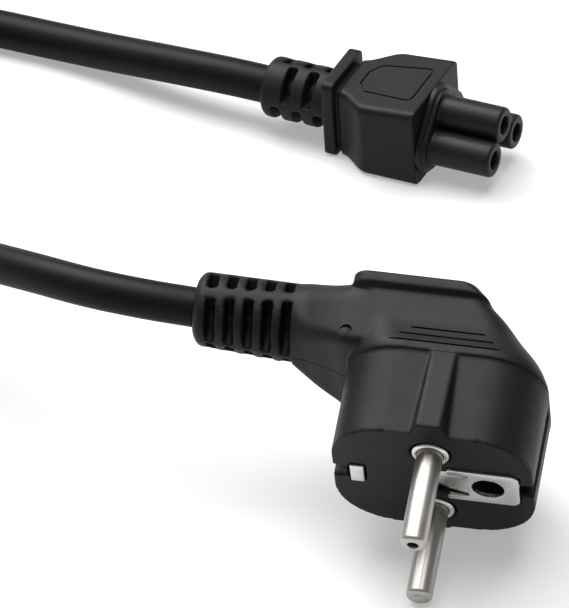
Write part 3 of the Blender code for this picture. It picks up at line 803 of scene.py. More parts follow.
@dataclass
class LeadCord:
    """The cord from the connector's strain relief, through its coil, to the plug's."""

    diameter: float = 7.4 * MM
    length: float = 1.5
    turn_pitch: float = 7.5 * MM
    turns_wide: int = 3
    coil_centre: Vector = field(default_factory=lambda: Vector((-121.5, 84.0, 0.0)) * MM)
    middle_radius: float = 37.0 * MM
    floor_height: float = 3.75 * MM
    layer_rise: float = 7.4 * MM
    first_angle: float = math.radians(72.0)
    last_angle: float = math.radians(257.0)
    points_per_turn: int = 48
    end_closing: float = 0.22 * MM
    run_spacing: float = 2.5 * MM
    least_spacing: float = 1.2 * MM
    # Points of the cord's two runs in millimetres, each from its strain relief to the coil.
    connector_run: list[tuple[float, float, float]] = field(default_factory=lambda: [
        (-15.3, 79.2, 8.25),
        (-22.9, 83.3, 8.2),
        (-34.5, 90.6, 7.0),
        (-46.0, 98.9, 5.0),
        (-57.0, 106.0, 3.9),
        (-69.0, 112.2, 3.8),
        (-82.0, 117.6, 3.8),
        (-93.5, 121.7, 3.8),
    ])
    plug_run: list[tuple[float, float, float]] = field(default_factory=lambda: [
        (-31.6, -24.4, 32.2),
        (-40.7, -21.8, 33.0),
        (-50.8, -16.8, 32.9),
        (-61.0, -8.0, 30.8),
        (-70.5, 2.8, 26.8),
        (-80.5, 14.4, 21.8),
        (-92.5, 25.8, 16.9),
        (-107.2, 35.1, 13.6),
        (-119.0, 39.2, 12.0),
    ])

    def coil(self) -> list[Vector]:
        """Wind the coil: three turns inward on the floor, then outward on top of them.

        Returns:
            The points of the turns, from the connector's side to the plug's.
        """
        outer = self.middle_radius + self.turn_pitch * (self.turns_wide - 1) / 2
        inner = outer - self.turn_pitch * (self.turns_wide - 1)
        inward = 2 * math.pi * self.turns_wide
        rest = (self.last_angle - self.first_angle) % (2 * math.pi)
        outward = 2 * math.pi * (self.turns_wide - 1) + rest
        total = inward + outward
        step = 2 * math.pi / self.points_per_turn
        count = round(total / step)
        points = []
        for index in range(count + 1):
            turned = total * index / count
            if turned <= inward:
                radius = outer + (inner - outer) * turned / inward
            else:
                radius = inner + (outer - inner) * (turned - inward) / outward
            lift = min(max((turned - inward + math.pi / 2) / math.pi, 0.0), 1.0)
            height = self.floor_height + self.layer_rise * lift * lift * (3 - 2 * lift)
            angle = self.first_angle + turned
            place = Vector((radius * math.cos(angle), radius * math.sin(angle), height))
            points.append(self.coil_centre + place)
        return points

    @staticmethod
    def smooth(knots: Sequence[Vector], spacing: float) -> list[Vector]:
        """Read points from a smooth curve through the knots.

        Args:
            knots: Points that the cord passes through.
            spacing: Distance between the points that are read.

        Returns:
            Points along the curve.
        """
        ends = [knots[0] * 2 - knots[1], *knots, knots[-1] * 2 - knots[-2]]
        points: list[Vector] = []
        for index in range(1, len(ends) - 2):
            before, start, end, after = ends[index - 1:index + 3]
            count = max(1, round((end - start).length / spacing))
            for step in range(count):
                share = step / count
                points.append(0.5 * (start * 2 + (end - before) * share
                                     + (before * 2 - start * 5 + end * 4 - after) * share ** 2
                                     + (start * 3 - before - end * 3 + after) * share ** 3))
        points.append(Vector(knots[-1]))
        return points

    def build(self, finishes: Finishes, plug_end: Vector) -> bpy.types.Object:
        """Lay the cord.

        Args:
            finishes: The lead's materials.
            plug_end: Where the cord enters the plug.

        Returns:
            The cord's curve.
        """
        out = [Vector(point) * MM for point in self.connector_run]
        home = [Vector(point) * MM for point in self.plug_run]
        coil = self.coil()
        # Each run takes in the coil's first points on its side, so that it joins the turns smoothly.
        into = self.smooth([*out, coil[0], coil[3]], self.run_spacing)[:-1]
        away = self.smooth([coil[-4], coil[-1], *reversed(home)], self.run_spacing)[1:]
        line = [point for point in into if (point - coil[3]).length > 0.1 * MM][:-1]
        route = self.thinned([*line, *coil[3:-4], *away], self.least_spacing)
        # Both ends reach a little further into their strain reliefs, which closes the gap there.
        for here, after in ((0, 1), (-1, -2)):
            route[here] = route[here] + (route[here] - route[after]).normalized() * self.end_closing
        curve = bpy.data.curves.new("lead_cord", "CURVE")
        curve.dimensions = "3D"
        curve.bevel_depth = self.diameter / 2
        curve.bevel_resolution = 8
        curve.use_fill_caps = True
        spline = curve.splines.new("POLY")
        spline.points.add(len(route) - 1)
        for point, place in zip(spline.points, route):
            point.co = (*place, 1.0)
        curve.materials.append(finishes.sheath)
        cord = linked("lead_cord", curve)
        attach(cord, BODY)
        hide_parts("cord_connector_run", "cord_coil", "cord_plug_run")
        length = sum((b - a).length for a, b in zip(route, route[1:]))
        LOG.info("lead_cord: %d points, %.3f m, ends %.1f mm from the plug", len(route), length,
                 (route[-1] - plug_end).length / MM)
        return cord

    @staticmethod
    def thinned(points: Sequence[Vector], least: float) -> list[Vector]:
        """Leave out points that lie too close to the one before."""
        kept = [points[0]]
        for point in points[1:]:
            if (point - kept[-1]).length >= least:
                kept.append(point)
        return kept


@dataclass
class ConnectorEnd:
    """The cloverleaf connector: block, flange, strain relief and the nose with its barrels."""

    place: Vector = field(default_factory=lambda: Vector((15.97, 62.62, 0.0)) * MM)
    turn: float = math.radians(-28.0)
    length: float = 17.6 * MM
    width: float = 20.6 * MM
    height: float = 16.5 * MM
    edge: float = 1.4 * MM
    neck_width: float = 12.6 * MM
    neck_drop: float = 1.5 * MM
    flare_length: float = 7.0 * MM
    groove_length: float = 0.8 * MM
    groove_depth: float = 0.6 * MM
    flange_length: float = 2.4 * MM
    flange_width: float = 14.0 * MM
    flange_edge: float = 1.3 * MM
    relief_length: float = 14.2 * MM
    relief_diameter: float = 11.8 * MM
    relief_end_round: float = 1.0 * MM
    relief_wall: float = 3.0 * MM
    slot_width: float = 1.9 * MM
    slot_pitch: float = 4.5 * MM
    # Middle and reach of each row of slots round the axis, in degrees.
    slot_rows: tuple[tuple[float, float], ...] = ((45.0, 80.0), (156.0, 42.0), (225.0, 80.0), (315.0, 80.0))
    first_slot: float = 3.4 * MM
    barrel_diameter: float = 6.8 * MM
    barrel_reach: float = 14.4 * MM
    barrel_edge: float = 0.6 * MM
    pair_spacing: float = 10.0 * MM
    pair_drop: float = 1.8 * MM
    earth_rise: float = 4.9 * MM
    pad_step: float = 0.8 * MM
    pad_margin: float = 1.9 * MM
    pad_step_margin: float = 0.8 * MM
    hole_diameter: float = 3.5 * MM
    hole_edge: float = 0.25 * MM
    hole_depth: float = 11.0 * MM
    gap: float = 0.3 * MM
    seam: float = 0.05 * MM
    over: float = 1.0 * MM
    facet: float = 0.26 * MM
    nose_facet: float = 0.2 * MM
    soft_passes: int = 4
    nose_passes: int = 3

    def matrix(self) -> Matrix:
        """Where the connector's own axes lie."""
        return Matrix.Translation(self.place) @ Matrix.Rotation(self.turn, 4, "Z")

    @property
    def axis_height(self) -> float:
        """Height of the axis over the floor."""
        return self.height / 2

    @property
    def back(self) -> float:
        """Place of the strain relief's cord end."""
        return -(self.length + self.groove_length + self.flange_length + self.relief_length)

    def square(self, place: float, width: float, low: float, high: float, corner: float) -> Section:
        """Make a section centred across."""
        return Section(place, -width / 2, width / 2, low, high, corner)

    def block(self) -> Form:
        """Loft the block, which flares from its neck."""
        sections = []
        for step in range(13):
            share = step / 12
            place = -self.length + self.flare_length * share
            ease = share * share * (3 - 2 * share)
            width = self.neck_width + (self.width - self.neck_width) * ease
            high = self.height - self.neck_drop * (1 - (place + self.length) / self.length)
            sections.append(self.square(place, width, 0.0, high, self.edge))
        for share in (0.3, 0.6, 0.9, 1.0):
            place = (self.flare_length - self.length) * (1 - share)
            high = self.height + self.neck_drop * place / self.length
            sections.append(self.square(place, self.width, 0.0, high, self.edge))
        return loft(sections, along_x, 128)

    def relief(self) -> Form:
        """Loft the strain relief, a plain round sleeve with a soft cord end."""
        radius = self.relief_diameter / 2
        soft = self.relief_end_round
        rows = [(self.back, radius - soft)]
        rows += [(self.back + soft * share, radius - soft * (1 - share) ** 2) for share in (0.25, 0.6, 1.0)]
        rows.append((self.back + self.relief_length + self.over, radius))
        middle = self.axis_height
        sections = [Section(place, -size, size, middle - size, middle + size, size)
                    for place, size in rows]
        return loft(sections, along_x, 96)

    def slots(self) -> Form:
        """Make the strain relief's slots, in rows that are set half a pitch apart."""
        radius = self.relief_diameter / 2
        first = self.back + self.first_slot
        long_row = [first + self.slot_pitch * (step + 0.5) for step in range(2)]
        short_row = [first + self.slot_pitch * step for step in range(3)]
        stand = Matrix.Translation((0, 0, self.axis_height)) @ Z_TO_X
        cutters = []
        for quarter, (middle, reach) in enumerate(self.slot_rows):
            for place in short_row if quarter % 2 else long_row:
                form = slot_cutter(radius - self.relief_wall, radius + self.over, self.slot_width,
                                   math.radians(reach))
                cutters.append(slot_at(form, stand, place, middle))
        return gather(cutters)

    def panel_groove(self) -> Form:
        """Make the thin groove round the bare panel on the block's top."""
        places = ((-3.8, -4.2), (-3.8, 4.4), (-12.2, 3.4), (-13.4, 1.6), (-13.4, -1.6), (-12.2, -3.4))
        corners = [Vector(place) * MM for place in places]
        corner_round = 1.2 * MM
        half_width = 0.2 * MM
        groove_floor = -0.35 * MM

        def outline(angle: float, grow: float) -> Vector:
            """Give the panel's outline, a hull round its corners."""
            ray = Vector((math.cos(angle), math.sin(angle)))
            return max(corners, key=lambda corner: corner.dot(ray)) + ray * (corner_round + grow)

        bm = ring_cutter(outline, half_width, half_width, groove_floor, self.over, 144)
        for vert in bm.verts:
            vert.co.z += self.height + self.neck_drop * vert.co.x / self.length
        return bm

    def centres(self) -> list[Vector]:
        """Centres of the barrels: line, neutral and earth, across and up."""
        low = self.axis_height - self.pair_drop
        half = self.pair_spacing / 2
        return [Vector((-half, low)), Vector((half, low)), Vector((0.0, low + self.earth_rise))]

    def pad(self, margin: float, low: float, high: float) -> Form:
        """Make a pad that follows the three barrels.

        Args:
            margin: How far it stands out round the barrels.
            low: Where it starts along the axis.
            high: Where it ends.

        Returns:
            The pad.
        """
        bm = bmesh.new()
        for centre in self.centres():
            turned = Matrix.Translation((low, centre.x, centre.y)) @ Z_TO_X
            bmesh.ops.create_circle(bm, cap_ends=False, segments=48,
                                    radius=self.barrel_diameter / 2 + margin, matrix=turned)
        bmesh.ops.convex_hull(bm, input=bm.verts)
        loose = [vert for vert in bm.verts if not vert.link_faces]
        bmesh.ops.delete(bm, geom=loose, context="VERTS")
        bmesh.ops.dissolve_limit(bm, angle_limit=0.01, verts=bm.verts, edges=bm.edges)
        faces = bm.faces[:]
        if len(faces) > 1:
            bmesh.ops.delete(bm, geom=faces[1:], context="FACES_ONLY")
        return raised(bm, (high - low, 0, 0))

    def barrel(self, centre: Vector) -> Form:
        """Turn one barrel with its contact hole."""
        radius = self.barrel_diameter / 2
        hole = self.hole_diameter / 2
        edge = self.barrel_edge
        tip = self.barrel_reach
        profile = [(0.0, self.seam), (radius, self.seam),
                   *arc((radius - edge, tip - edge), edge, 0, 90),
                   *arc((hole + self.hole_edge, tip - self.hole_edge), self.hole_edge, 90, 180, 3),
                   (hole, tip - self.hole_depth), (0.0, tip - self.hole_depth)]
        return moved(lathe(profile, 72), Matrix.Translation((0, centre.x, centre.y)) @ Z_TO_X)

    def build(self, finishes: Finishes) -> None:
        """Build the connector and put it in its place."""
        neck_high = self.height - self.neck_drop
        flange = [self.square(self.back + self.relief_length + shift, self.flange_width, 0.0, self.height,
                              self.flange_edge) for shift in (0.0, self.flange_length)]
        groove = [self.square(place, self.neck_width - 2 * self.groove_depth, self.groove_depth,
                              neck_high - self.groove_depth, self.flange_edge)
                  for place in (-self.length - self.groove_length - self.over, -self.length + self.over)]
        shell = Moulding("connector_shell", self.block())
        shell.join(loft(groove, along_x, 96)).join(loft(flange, along_x, 96)).join(self.relief())
        shell.cut(self.slots()).soften(self.facet, self.soft_passes).cut(self.panel_groove())
        set_piece("connector_shell", shell.mesh(), self.matrix(), finishes.moulding, "black_moulding",
                  "connector_body")
        step = self.gap + self.pad_step
        forms = [self.pad(self.pad_margin, self.seam, step),
                 self.pad(self.pad_margin - self.pad_step_margin, self.seam, step + self.pad_step)]
        nose = Moulding("connector_barrels", forms[0]).join(forms[1])
        for centre in self.centres():
            nose.join(self.barrel(centre))
        nose.soften(self.nose_facet, self.nose_passes)
        set_piece("connector_barrels", nose.mesh(), self.matrix(), finishes.insert, "black_insert",
                  "connector_nose")
        for pole in ("line", "neutral", "earth"):
            dress_node("contact_sleeve_" + pole, finishes.contact)


def dress_node(name: str, finish: bpy.types.Material) -> None:
    """Give a CAD node that stays a better material."""
    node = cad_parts[name]
    node.data.materials.clear()
    node.data.materials.append(finish)
    LOG.info("%s: kept with %s", name, finish.name)


@dataclass
class PlugEnd:
    """The angled plug: body, arm, strain relief, pins and earth contacts."""

    place: Vector = field(default_factory=lambda: Vector((9.07, -62.48, 17.823)) * MM)
    tilt: float = math.radians(22.2)
    lean: float = math.radians(3.5)
    turn: float = math.radians(-13.0)
    face_half: float = 18.3 * MM
    face_height: float = 15.8 * MM
    face_corner: float = 11.0 * MM
    insert_depth: float = 17.5 * MM
    grip_step: float = 0.4 * MM
    grip_spacing: float = 0.7 * MM
    grip_line_width: float = 0.42 * MM
    rim_band: float = 2.5 * MM
    depth: float = 34.0 * MM
    waist: float = 13.4 * MM
    rim: float = 14.3 * MM
    rib_top: float = 4.5 * MM
    rib_foot: float = 6.6 * MM
    rib_rise: float = 3.2 * MM
    lower_rib_rise: float = 0.8 * MM
    arm_depth: float = 29.2 * MM
    arm_slope: float = math.radians(3.0)
    arm_length: float = 30.0 * MM
    arm_spacing: float = 0.8 * MM
    relief_length: float = 18.5 * MM
    relief_diameter: float = 14.6 * MM
    relief_end_diameter: float = 13.6 * MM
    relief_end_round: float = 1.6 * MM
    relief_wall: float = 4.2 * MM
    slot_count: int = 5
    slot_width: float = 1.85 * MM
    slot_pitch: float = 3.5 * MM
    # Middle and reach of each row of slots round the axis, in degrees.
    slot_rows: tuple[tuple[float, float], ...] = ((139.0, 77.0), (61.0, 44.0), (299.0, 44.0), (200.0, 30.0))
    first_slot: float = 3.2 * MM
    pin_diameter: float = 4.8 * MM
    pin_length: float = 19.0 * MM
    pin_spacing: float = 19.0 * MM
    pin_root: float = 6.0 * MM
    collar_diameter: float = 6.9 * MM
    collar_rise: float = 0.5 * MM
    collar_root: float = 1.2 * MM
    hole_offset: float = 10.0 * MM
    hole_diameter: float = 7.1 * MM
    hole_depth: float = 19.5 * MM
    socket_wall: float = 0.3 * MM
    sleeve_drop: float = 2.2 * MM
    channel_width: float = 3.4 * MM
    channel_depth: float = 2.2 * MM
    plate_outer: float = 15.7 * MM
    plate_length: float = 13.2 * MM
    plate_width: float = 9.8 * MM
    plate_thickness: float = 0.8 * MM
    plate_mouth: float = 6.9 * MM
    plate_mouth_depth: float = 3.9 * MM
    plate_corner: float = 1.7 * MM
    plate_tip_corner: float = 0.55 * MM
    plate_edge: float = 0.14 * MM
    tongue_half: float = 2.7 * MM
    clip_inner: float = 12.5 * MM
    clip_outer: float = 15.1 * MM
    clip_width: float = 5.2 * MM
    clip_depth: float = 2.4 * MM
    clip_rise: float = 0.4 * MM
    clip_edge: float = 0.3 * MM
    gap: float = 0.3 * MM
    over: float = 1.0 * MM
    facet: float = 0.335 * MM
    soft_passes: int = 4

    def turned(self) -> Euler:
        """How the plug's own axes are turned."""
        return Euler((math.radians(90) + self.tilt, self.lean, self.turn))

    def matrix(self) -> Matrix:
        """Where the plug's own axes lie."""
        return Matrix.Translation(self.place) @ self.turned().to_matrix().to_4x4()

    def arm_axis(self, distance: float) -> float:
        """Depth of the arm's axis at a distance from the pins' plane."""
        return -(self.arm_depth + (distance - self.arm_length) * math.tan(self.arm_slope))

    def cord_exit(self) -> Vector:
        """Where the cord leaves the strain relief."""
        reach = self.arm_length + self.relief_length
        return self.matrix() @ Vector((-reach, 0.0, self.arm_axis(reach)))

    def grip(self) -> Form:
        """Loft the grip from its back to the insert."""
        half = self.face_half
        grip = self.face_height + self.grip_step
        length = self.depth - self.insert_depth
        band = self.depth - self.rim_band
        rim_rows = [
            (self.depth, 1.04, 0.14, self.rim - 0.5 * MM, 0.14),
            (self.depth - 0.5 * MM, 1.06, 0.19, self.rim, 0.15),
            (band, 1.07, 0.32, self.rim, 0.18),
            (band - 0.3 * MM, 1.07, 0.34, self.waist + 0.1 * MM, 0.20),
        ]
        grip_rows = [
            (band - 0.8 * MM, 1.07, 0.37, self.waist - 0.15 * MM, 0.24),
            (self.depth - 5.6 * MM, 1.05, 0.52, self.waist, 0.30),
            (self.depth - length * 0.55, 1.03, 0.70, self.waist + 0.3 * MM, 0.38),
            (self.depth - length * 0.75, 1.01, 0.88, (self.waist + grip) / 2, 0.48),
            (self.depth - length * 0.90, 1.00, 0.97, grip - 0.25 * MM, 0.56),
            (self.insert_depth + 0.1 * MM, 1.00, 1.005, grip, 0.60),
        ]
        rim, swell = ([Section(-place, -left * half, right * half, -high, high, corner * half)
                       for place, left, right, high, corner in rows] for rows in (rim_rows, grip_rows))
        return loft([*rim, *eased(swell, self.grip_spacing)], along_z, 160)

    def insert(self) -> Form:
        """Loft the part that enters the wall socket."""
        sections = [Section(place, -self.face_half, self.face_half, -self.face_height, self.face_height,
                            self.face_corner) for place in (-self.insert_depth - self.over, 0.0)]
        return loft(sections, along_z, 128)

    def ribs(self) -> Form:
        """Make both guide ribs, highest at the face."""
        forms = []
        for angle, rise in ((0.0, self.rib_rise), (math.pi, self.lower_rib_rise)):
            base = self.face_height - self.over
            slope = (self.rib_foot - self.rib_top) / 2 / self.rib_rise
            bm = brick((-1.0, base, -self.insert_depth - 0.3 * MM), (1.0, self.face_height + rise, 0.0))
            for vert in bm.verts:
                level = self.grip_step if vert.co.z < -self.over else rise
                if vert.co.y > base + 0.5 * self.over:
                    vert.co.x *= self.rib_top / 2
                    vert.co.y = self.face_height + level
                else:
                    vert.co.x *= self.rib_top / 2 + slope * (level + self.over)
            forms.append(moved(bm, Matrix.Rotation(angle, 4, "Z")))
        return gather(forms)

    def arm(self) -> Form:
        """Loft the arm and its strain relief."""
        # In millimetres: reach, back, front, half height, front corner and back corner.
        rows = [
            (14.0, -33.0, -19.0, 13.3, 1.7, 4.0),
            (19.0, -33.4, -19.3, 12.8, 1.7, 5.0),
            (22.0, -34.0, -20.4, 11.6, 1.9, 6.0),
            (25.0, -35.0, -21.2, 9.9, 2.4, 6.6),
            (27.5, -36.0, -21.8, 8.3, 3.6, 6.9),
        ]
        sections = [Section(-reach * MM, low * MM, high * MM, -half * MM, half * MM, corner * MM, back * MM)
                    for reach, low, high, half, corner, back in rows]
        sections.append(self.relief_section(self.arm_length, self.relief_diameter / 2))
        end = self.arm_length + self.relief_length
        size = self.relief_end_diameter / 2
        dense = eased(sections, self.arm_spacing)
        for share in (1.0, 0.6, 0.25, 0.0):
            dense.append(self.relief_section(end - self.relief_end_round * share,
                                             size - self.relief_end_round * (1 - share) ** 2))
        return loft(dense, along_arm, 112)

    def relief_section(self, reach: float, size: float) -> Section:
        """Make a round section of the strain relief."""
        middle = self.arm_axis(reach)
        return Section(-reach, middle - size, middle + size, -size, size, size, size)

    def slots(self) -> Form:
        """Make the strain relief's four rows of slots, which are level with each other."""
        radius = self.relief_diameter / 2
        first = self.arm_length + self.relief_length - self.first_slot
        lay = (Matrix.Translation((-first, 0, self.arm_axis(first)))
               @ Matrix.Rotation(math.radians(90) + self.arm_slope, 4, "Y"))
        cutters = []
        for middle, reach in self.slot_rows:
            for step in range(self.slot_count):
                form = slot_cutter(radius - self.relief_wall, radius + 2 * self.over, self.slot_width,
                                   math.radians(reach))
                cutters.append(slot_at(form, lay, self.slot_pitch * step, middle))
        return gather(cutters)

    def rod(self, radius: float, low: float, high: float, x: float = 0.0) -> Form:
        """Make a plain round rod along the pins' direction."""
        form = lathe([(0.0, low), (radius, low), (radius, high), (0.0, high)], 64)
        return moved(form, Matrix.Translation((x, 0, 0)))

    def at_pin(self, form: Form, side: Side) -> Form:
        """Move a form from the face's middle to a pin's place, FAR above."""
        return moved(form, Matrix.Translation((0, side.value * self.pin_spacing / 2, 0)))

    def channels(self) -> Form:
        """Make the side channels of the earth contacts."""
        half = self.channel_width / 2
        forms = []
        for side in Side:
            low, high = side.span(self.face_half - self.channel_depth, self.face_half + self.over)
            forms.append(brick((low, -half, -self.insert_depth + 0.5 * MM), (high, half, self.over)))
        return gather(forms)

    def notches(self) -> Form:
        """Make the openings between the channels and the contacts on the face."""
        half = self.channel_width / 2 - 0.15 * MM
        forms = []
        for side in Side:
            low, high = side.span(self.clip_outer - 0.1 * MM, self.face_half + 2 * self.over)
            forms.append(brick((low, -half, -self.clip_depth), (high, half, 2 * self.over)))
        return gather(forms)

    def tongue_pocket(self) -> Form:
        """Make the dark pocket that the plate's tongue runs down into."""
        half = self.plate_mouth / 2
        inner = self.plate_outer - self.plate_length
        return brick((0.2 * MM, -half, -2.4 * MM), (inner + 4.2 * MM, half, 2 * self.over))

    def tongue(self) -> Form:
        """Loft the plate's tongue, which slopes down between its prongs."""
        half = self.tongue_half
        # In millimetres, as in the rows of place and top.
        thickness, edge = 0.7, 0.12
        rows = [(7.0, 0.33), (6.2, 0.28), (5.2, 0.12), (3.8, -0.15), (2.2, -0.45), (0.5, -0.80)]
        sections = [Section(x * MM, -half, half, (top - thickness) * MM, top * MM, edge * MM)
                    for x, top in rows]
        return loft(sections, along_x, 48)

    def seats(self) -> Form:
        """Make the seats of the plate, the clip, the collars and the pins."""
        half = self.clip_width / 2 + self.gap
        forms = [self.plate_form(self.gap, -self.plate_thickness / 2 - self.gap, self.over),
                 brick((-self.clip_outer - self.gap, -half, -self.clip_depth - self.gap),
                       (-self.clip_inner + self.gap, half, self.over))]
        for side in Side:
            seat = self.rod(self.collar_diameter / 2 + self.gap, -self.collar_root - self.gap, self.over)
            forms.append(self.at_pin(seat, side))
        return gather(forms)

    def plate_form(self, grow: float, low: float, high: float) -> Form:
        """Make the forked plate, or its seat.

        Args:
            grow: Clearance round the plate.
            low: Its underside.
            high: Its top.

        Returns:
            The form.
        """
        outer = self.plate_outer + grow
        inner = self.plate_outer - self.plate_length - grow
        half = self.plate_width / 2 + grow
        mouth = self.plate_mouth / 2 - grow
        deep = inner + self.plate_mouth_depth
        bm = bmesh.new()
        corners = [(inner, mouth), (inner, half), (outer, half), (outer, -half), (inner, -half),
                   (inner, -mouth), (deep, -mouth), (deep, mouth)]
        verts = [bm.verts.new((x, y, low)) for x, y in corners]
        bm.faces.new(verts)
        bmesh.ops.bevel(bm, geom=verts[2:4], offset=self.plate_corner, segments=5, profile=0.5,
                        affect="VERTICES", material=-1)
        bm.verts.ensure_lookup_table()
        tips = [vert for vert in bm.verts if abs(vert.co.x - inner) < TOUCH_DISTANCE]
        bmesh.ops.bevel(bm, geom=tips, offset=self.plate_tip_corner, segments=3, profile=0.5,
                        affect="VERTICES", material=-1)
        return raised(bm, (0, 0, high - low))

    def fine_lines(self) -> Form:
        """Make the grip lines, the shoulder line, the gate marks and the arm's parting line."""
        forms = [self.shoulder_line()]
        half = self.grip_line_width / 2
        outside = 18.0 * MM
        # In millimetres: the lines' depth, then each line's place, its two ends and the grip's level.
        line_depth = 0.45
        lines = ((19.3, -10.5, 9.7, 15.85), (21.1, -8.9, 8.2, 15.0), (22.9, -7.0, 6.4, 14.2))
        for depth, left, right, level in lines:
            for side in Side:
                low, high = side.span((level - line_depth) * MM, outside)
                forms.append(brick((left * MM, low, -depth * MM - half),
                                   (right * MM, high, -depth * MM + half)))
        for side in Side:
            profile = ((0.0, 0.12), (0.7, 0.12), (0.95, 0.0), (1.15, 0.0), (1.15, 3.0), (0.0, 3.0))
            dish = lathe([(radius * MM, level * MM) for radius, level in profile], 40)
            stand = Matrix.Rotation(math.radians(-90.0 * side.value), 4, "X")
            seat = Matrix.Translation((-18.9 * MM, side.value * 12.35 * MM, -21.6 * MM))
            forms.append(moved(dish, seat @ stand))
        forms.append(self.parting_line())
        return gather(forms)

    def shoulder_line(self) -> Form:
        """Make the thin line round the body where the grip ends."""
        shape = Section(0.0, -self.face_half, self.face_half, -self.face_height, self.face_height,
                        self.face_corner)

        def outline(angle: float, grow: float) -> Vector:
            """Give the insert's outline, moved outwards."""
            point = shape.point(angle)
            return point + point.normalized() * grow

        width, line_depth, reach = 0.12 * MM, 0.07 * MM, 1.6 * MM
        level = -self.insert_depth + 0.02 * MM
        return ring_cutter(outline, line_depth, reach, level, level + width)

    def parting_line(self) -> Form:
        """Make the thin seam along the arm's near wall."""
        width = 0.18 * MM
        # In millimetres: points on the wall, then how far the cutter goes inside and outside it.
        wall = [(-30.0, -22.0), (-27.5, -21.8), (-25.0, -21.2), (-22.0, -20.4), (-19.0, -19.3)]
        line_depth, reach = 0.2, 1.2
        bm = bmesh.new()
        low = [bm.verts.new((x * MM, -width / 2, (z - line_depth) * MM)) for x, z in wall]
        high = [bm.verts.new((x * MM, -width / 2, (z + reach) * MM)) for x, z in reversed(wall)]
        bm.faces.new([*low, *high])
        return raised(bm, (0, width, 0))

    def build_body(self, finishes: Finishes) -> None:
        """Build the moulded body."""
        body = Moulding("plug_shell", self.grip())
        body.join(self.insert()).join(self.arm()).join(self.ribs())
        body.cut(self.slots()).cut(self.channels()).cut(self.notches())
        body.cut(self.seats()).cut(self.tongue_pocket())
        body.cut(self.rod(self.hole_diameter / 2, -self.hole_depth, self.over, self.hole_offset))
        body.soften(self.facet, self.soft_passes).cut(self.fine_lines())
        set_piece("plug_shell", body.mesh(), self.matrix(), finishes.moulding, "black_moulding", "plug_body")

    def pin(self, side: Side, style: TipStyle) -> Form:
        """Turn one pin.

        Args:
            side: Which pin it is, FAR above.
            style: How its tip is finished.

        Returns:
            The pin in the plug's axes.
        """
        radius = self.pin_diameter / 2
        tip = self.pin_length
        if style is TipStyle.DRILLED:
            round_off = 0.8 * MM
            end = [(1.1 * MM, tip), (1.0 * MM, tip - 0.15 * MM), (1.0 * MM, tip - 0.3 * MM),
                   (1.7 * MM, tip - 0.9 * MM), (1.7 * MM, tip - 4.0 * MM), (0.0, tip - 4.0 * MM)]
        else:
            round_off = 0.7 * MM
            end = [(1.35 * MM, tip - 0.12 * MM), (1.2 * MM, tip - 0.02 * MM),
                   *arc((0.95 * MM, tip - 0.02 * MM), 0.25 * MM, 0, 90, 3), (0.0, tip + 0.25 * MM)]
            tip -= 0.12 * MM
        profile = [(0.0, -self.pin_root), (radius, -self.pin_root),
                   *arc((radius - round_off, tip - round_off), round_off, 0, 90, 6), *end]
        return self.at_pin(lathe(profile, 72), side)

    def collar(self, side: Side) -> Form:
        """Turn the bright ring round a pin's root."""
        inner = self.pin_diameter / 2 + 0.12 * MM
        outer = self.collar_diameter / 2
        rise = self.collar_rise
        profile = [(inner, -self.collar_root), (outer, -self.collar_root),
                   *arc((outer - rise, 0.0), rise, 0, 90, 5),
                   *arc((inner + 0.2 * MM, rise - 0.2 * MM), 0.2 * MM, 90, 180, 3)]
        return self.at_pin(lathe(profile, 72), side)

    def earth_plate(self) -> bpy.types.Mesh:
        """Make the forked plate with its hole and its tongue."""
        low = -self.plate_thickness / 2
        radius = self.hole_diameter / 2 - self.socket_wall - self.gap
        plate = Moulding("earth_fork", self.plate_form(0.0, low, low + self.plate_thickness))
        plate.cut(self.rod(radius, -self.over, 2 * self.over, self.hole_offset))
        bm = bmesh.new()
        bm.from_mesh(plate.mesh())
        bmesh.ops.remove_doubles(bm, verts=bm.verts, dist=0.01 * MM)
        sharp = [edge for edge in bm.edges if edge.is_manifold and edge.calc_face_angle() > BEVEL_ANGLE
                 and max(vert.co.z for vert in edge.verts) > 0.3 * MM]
        bmesh.ops.bevel(bm, geom=sharp, offset=self.plate_edge, segments=2, profile=0.5, affect="EDGES",
                        material=-1, clamp_overlap=True)
        return Moulding("earth_fork", bm).join(self.tongue()).mesh()

    def earth_clip(self) -> Form:
        """Make the contact on the cord's side, a plain block with soft edges."""
        half = self.clip_width / 2
        return brick((-self.clip_outer, -half, -self.clip_depth), (-self.clip_inner, half, self.clip_rise),
                     self.clip_edge)

    def earth_sleeve(self) -> Form:
        """Turn the sleeve inside the earth hole."""
        outer = self.hole_diameter / 2 - self.gap
        inner = outer - self.socket_wall
        high = -self.plate_thickness / 2 - self.gap - self.sleeve_drop
        bottom = -self.hole_depth + self.gap
        profile = [(inner, bottom), (outer, bottom), (outer, high), (inner, high),
                   (inner - 0.9 * MM, high - 1.4 * MM), (inner - 1.2 * MM, high - 2.4 * MM),
                   (inner - 1.2 * MM, high - 5.0 * MM)]
        return moved(lathe(profile, 64), Matrix.Translation((self.hole_offset, 0, 0)))

    def build(self, finishes: Finishes) -> None:
        """Build the plug and put it in its place."""
        self.build_body(finishes)
        place = self.matrix()
        for name, side, style in (("upper", Side.FAR, TipStyle.DRILLED), ("lower", Side.NEAR, TipStyle.NUB)):
            set_piece("plug_pin_" + name, as_mesh(self.pin(side, style)), place, finishes.nickel,
                      "nickel_plate", "pin_" + name)
            set_piece("plug_collar_" + name, as_mesh(self.collar(side)), place, finishes.bright,
                      "bright_plate", "pin_collar_" + name)
        contacts = (("earth_fork", self.earth_plate(), "earth_plate"),
                    ("earth_tab", as_mesh(self.earth_clip()), "earth_clip"),
                    ("earth_sleeve", as_mesh(self.earth_sleeve()), "earth_socket"))
        for name, mesh, node in contacts:
            set_piece(name, mesh, place, finishes.bright, "bright_plate", node)
        for side in ("cord_side", "far_side"):
            dress_node("earth_strip_" + side, finishes.bright)


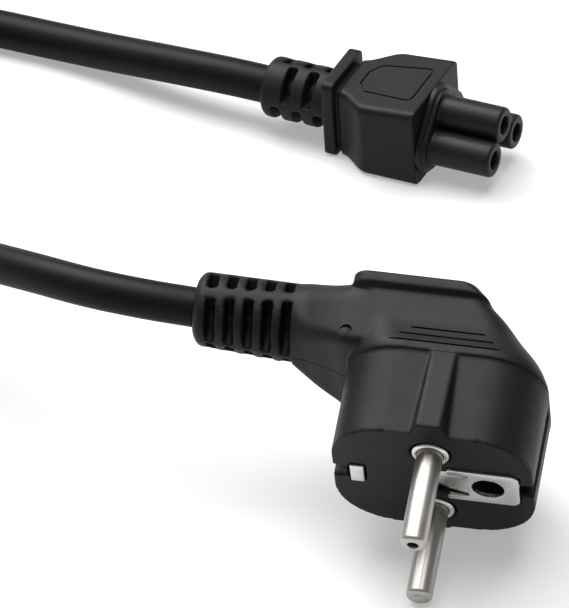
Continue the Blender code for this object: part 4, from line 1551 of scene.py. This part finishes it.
def main() -> None:
    """Build the lead and its studio."""
    logging.basicConfig(level=logging.INFO, format="%(name)s: %(message)s")
    Studio().build()
    connector = ConnectorEnd()
    plug = PlugEnd()
    finishes = Finishes.mixed(tuple(plug.turned()))
    LeadCord().build(finishes, plug.cord_exit())
    connector.build(finishes)
    plug.build(finishes)


if __name__ == "__main__":
    main()
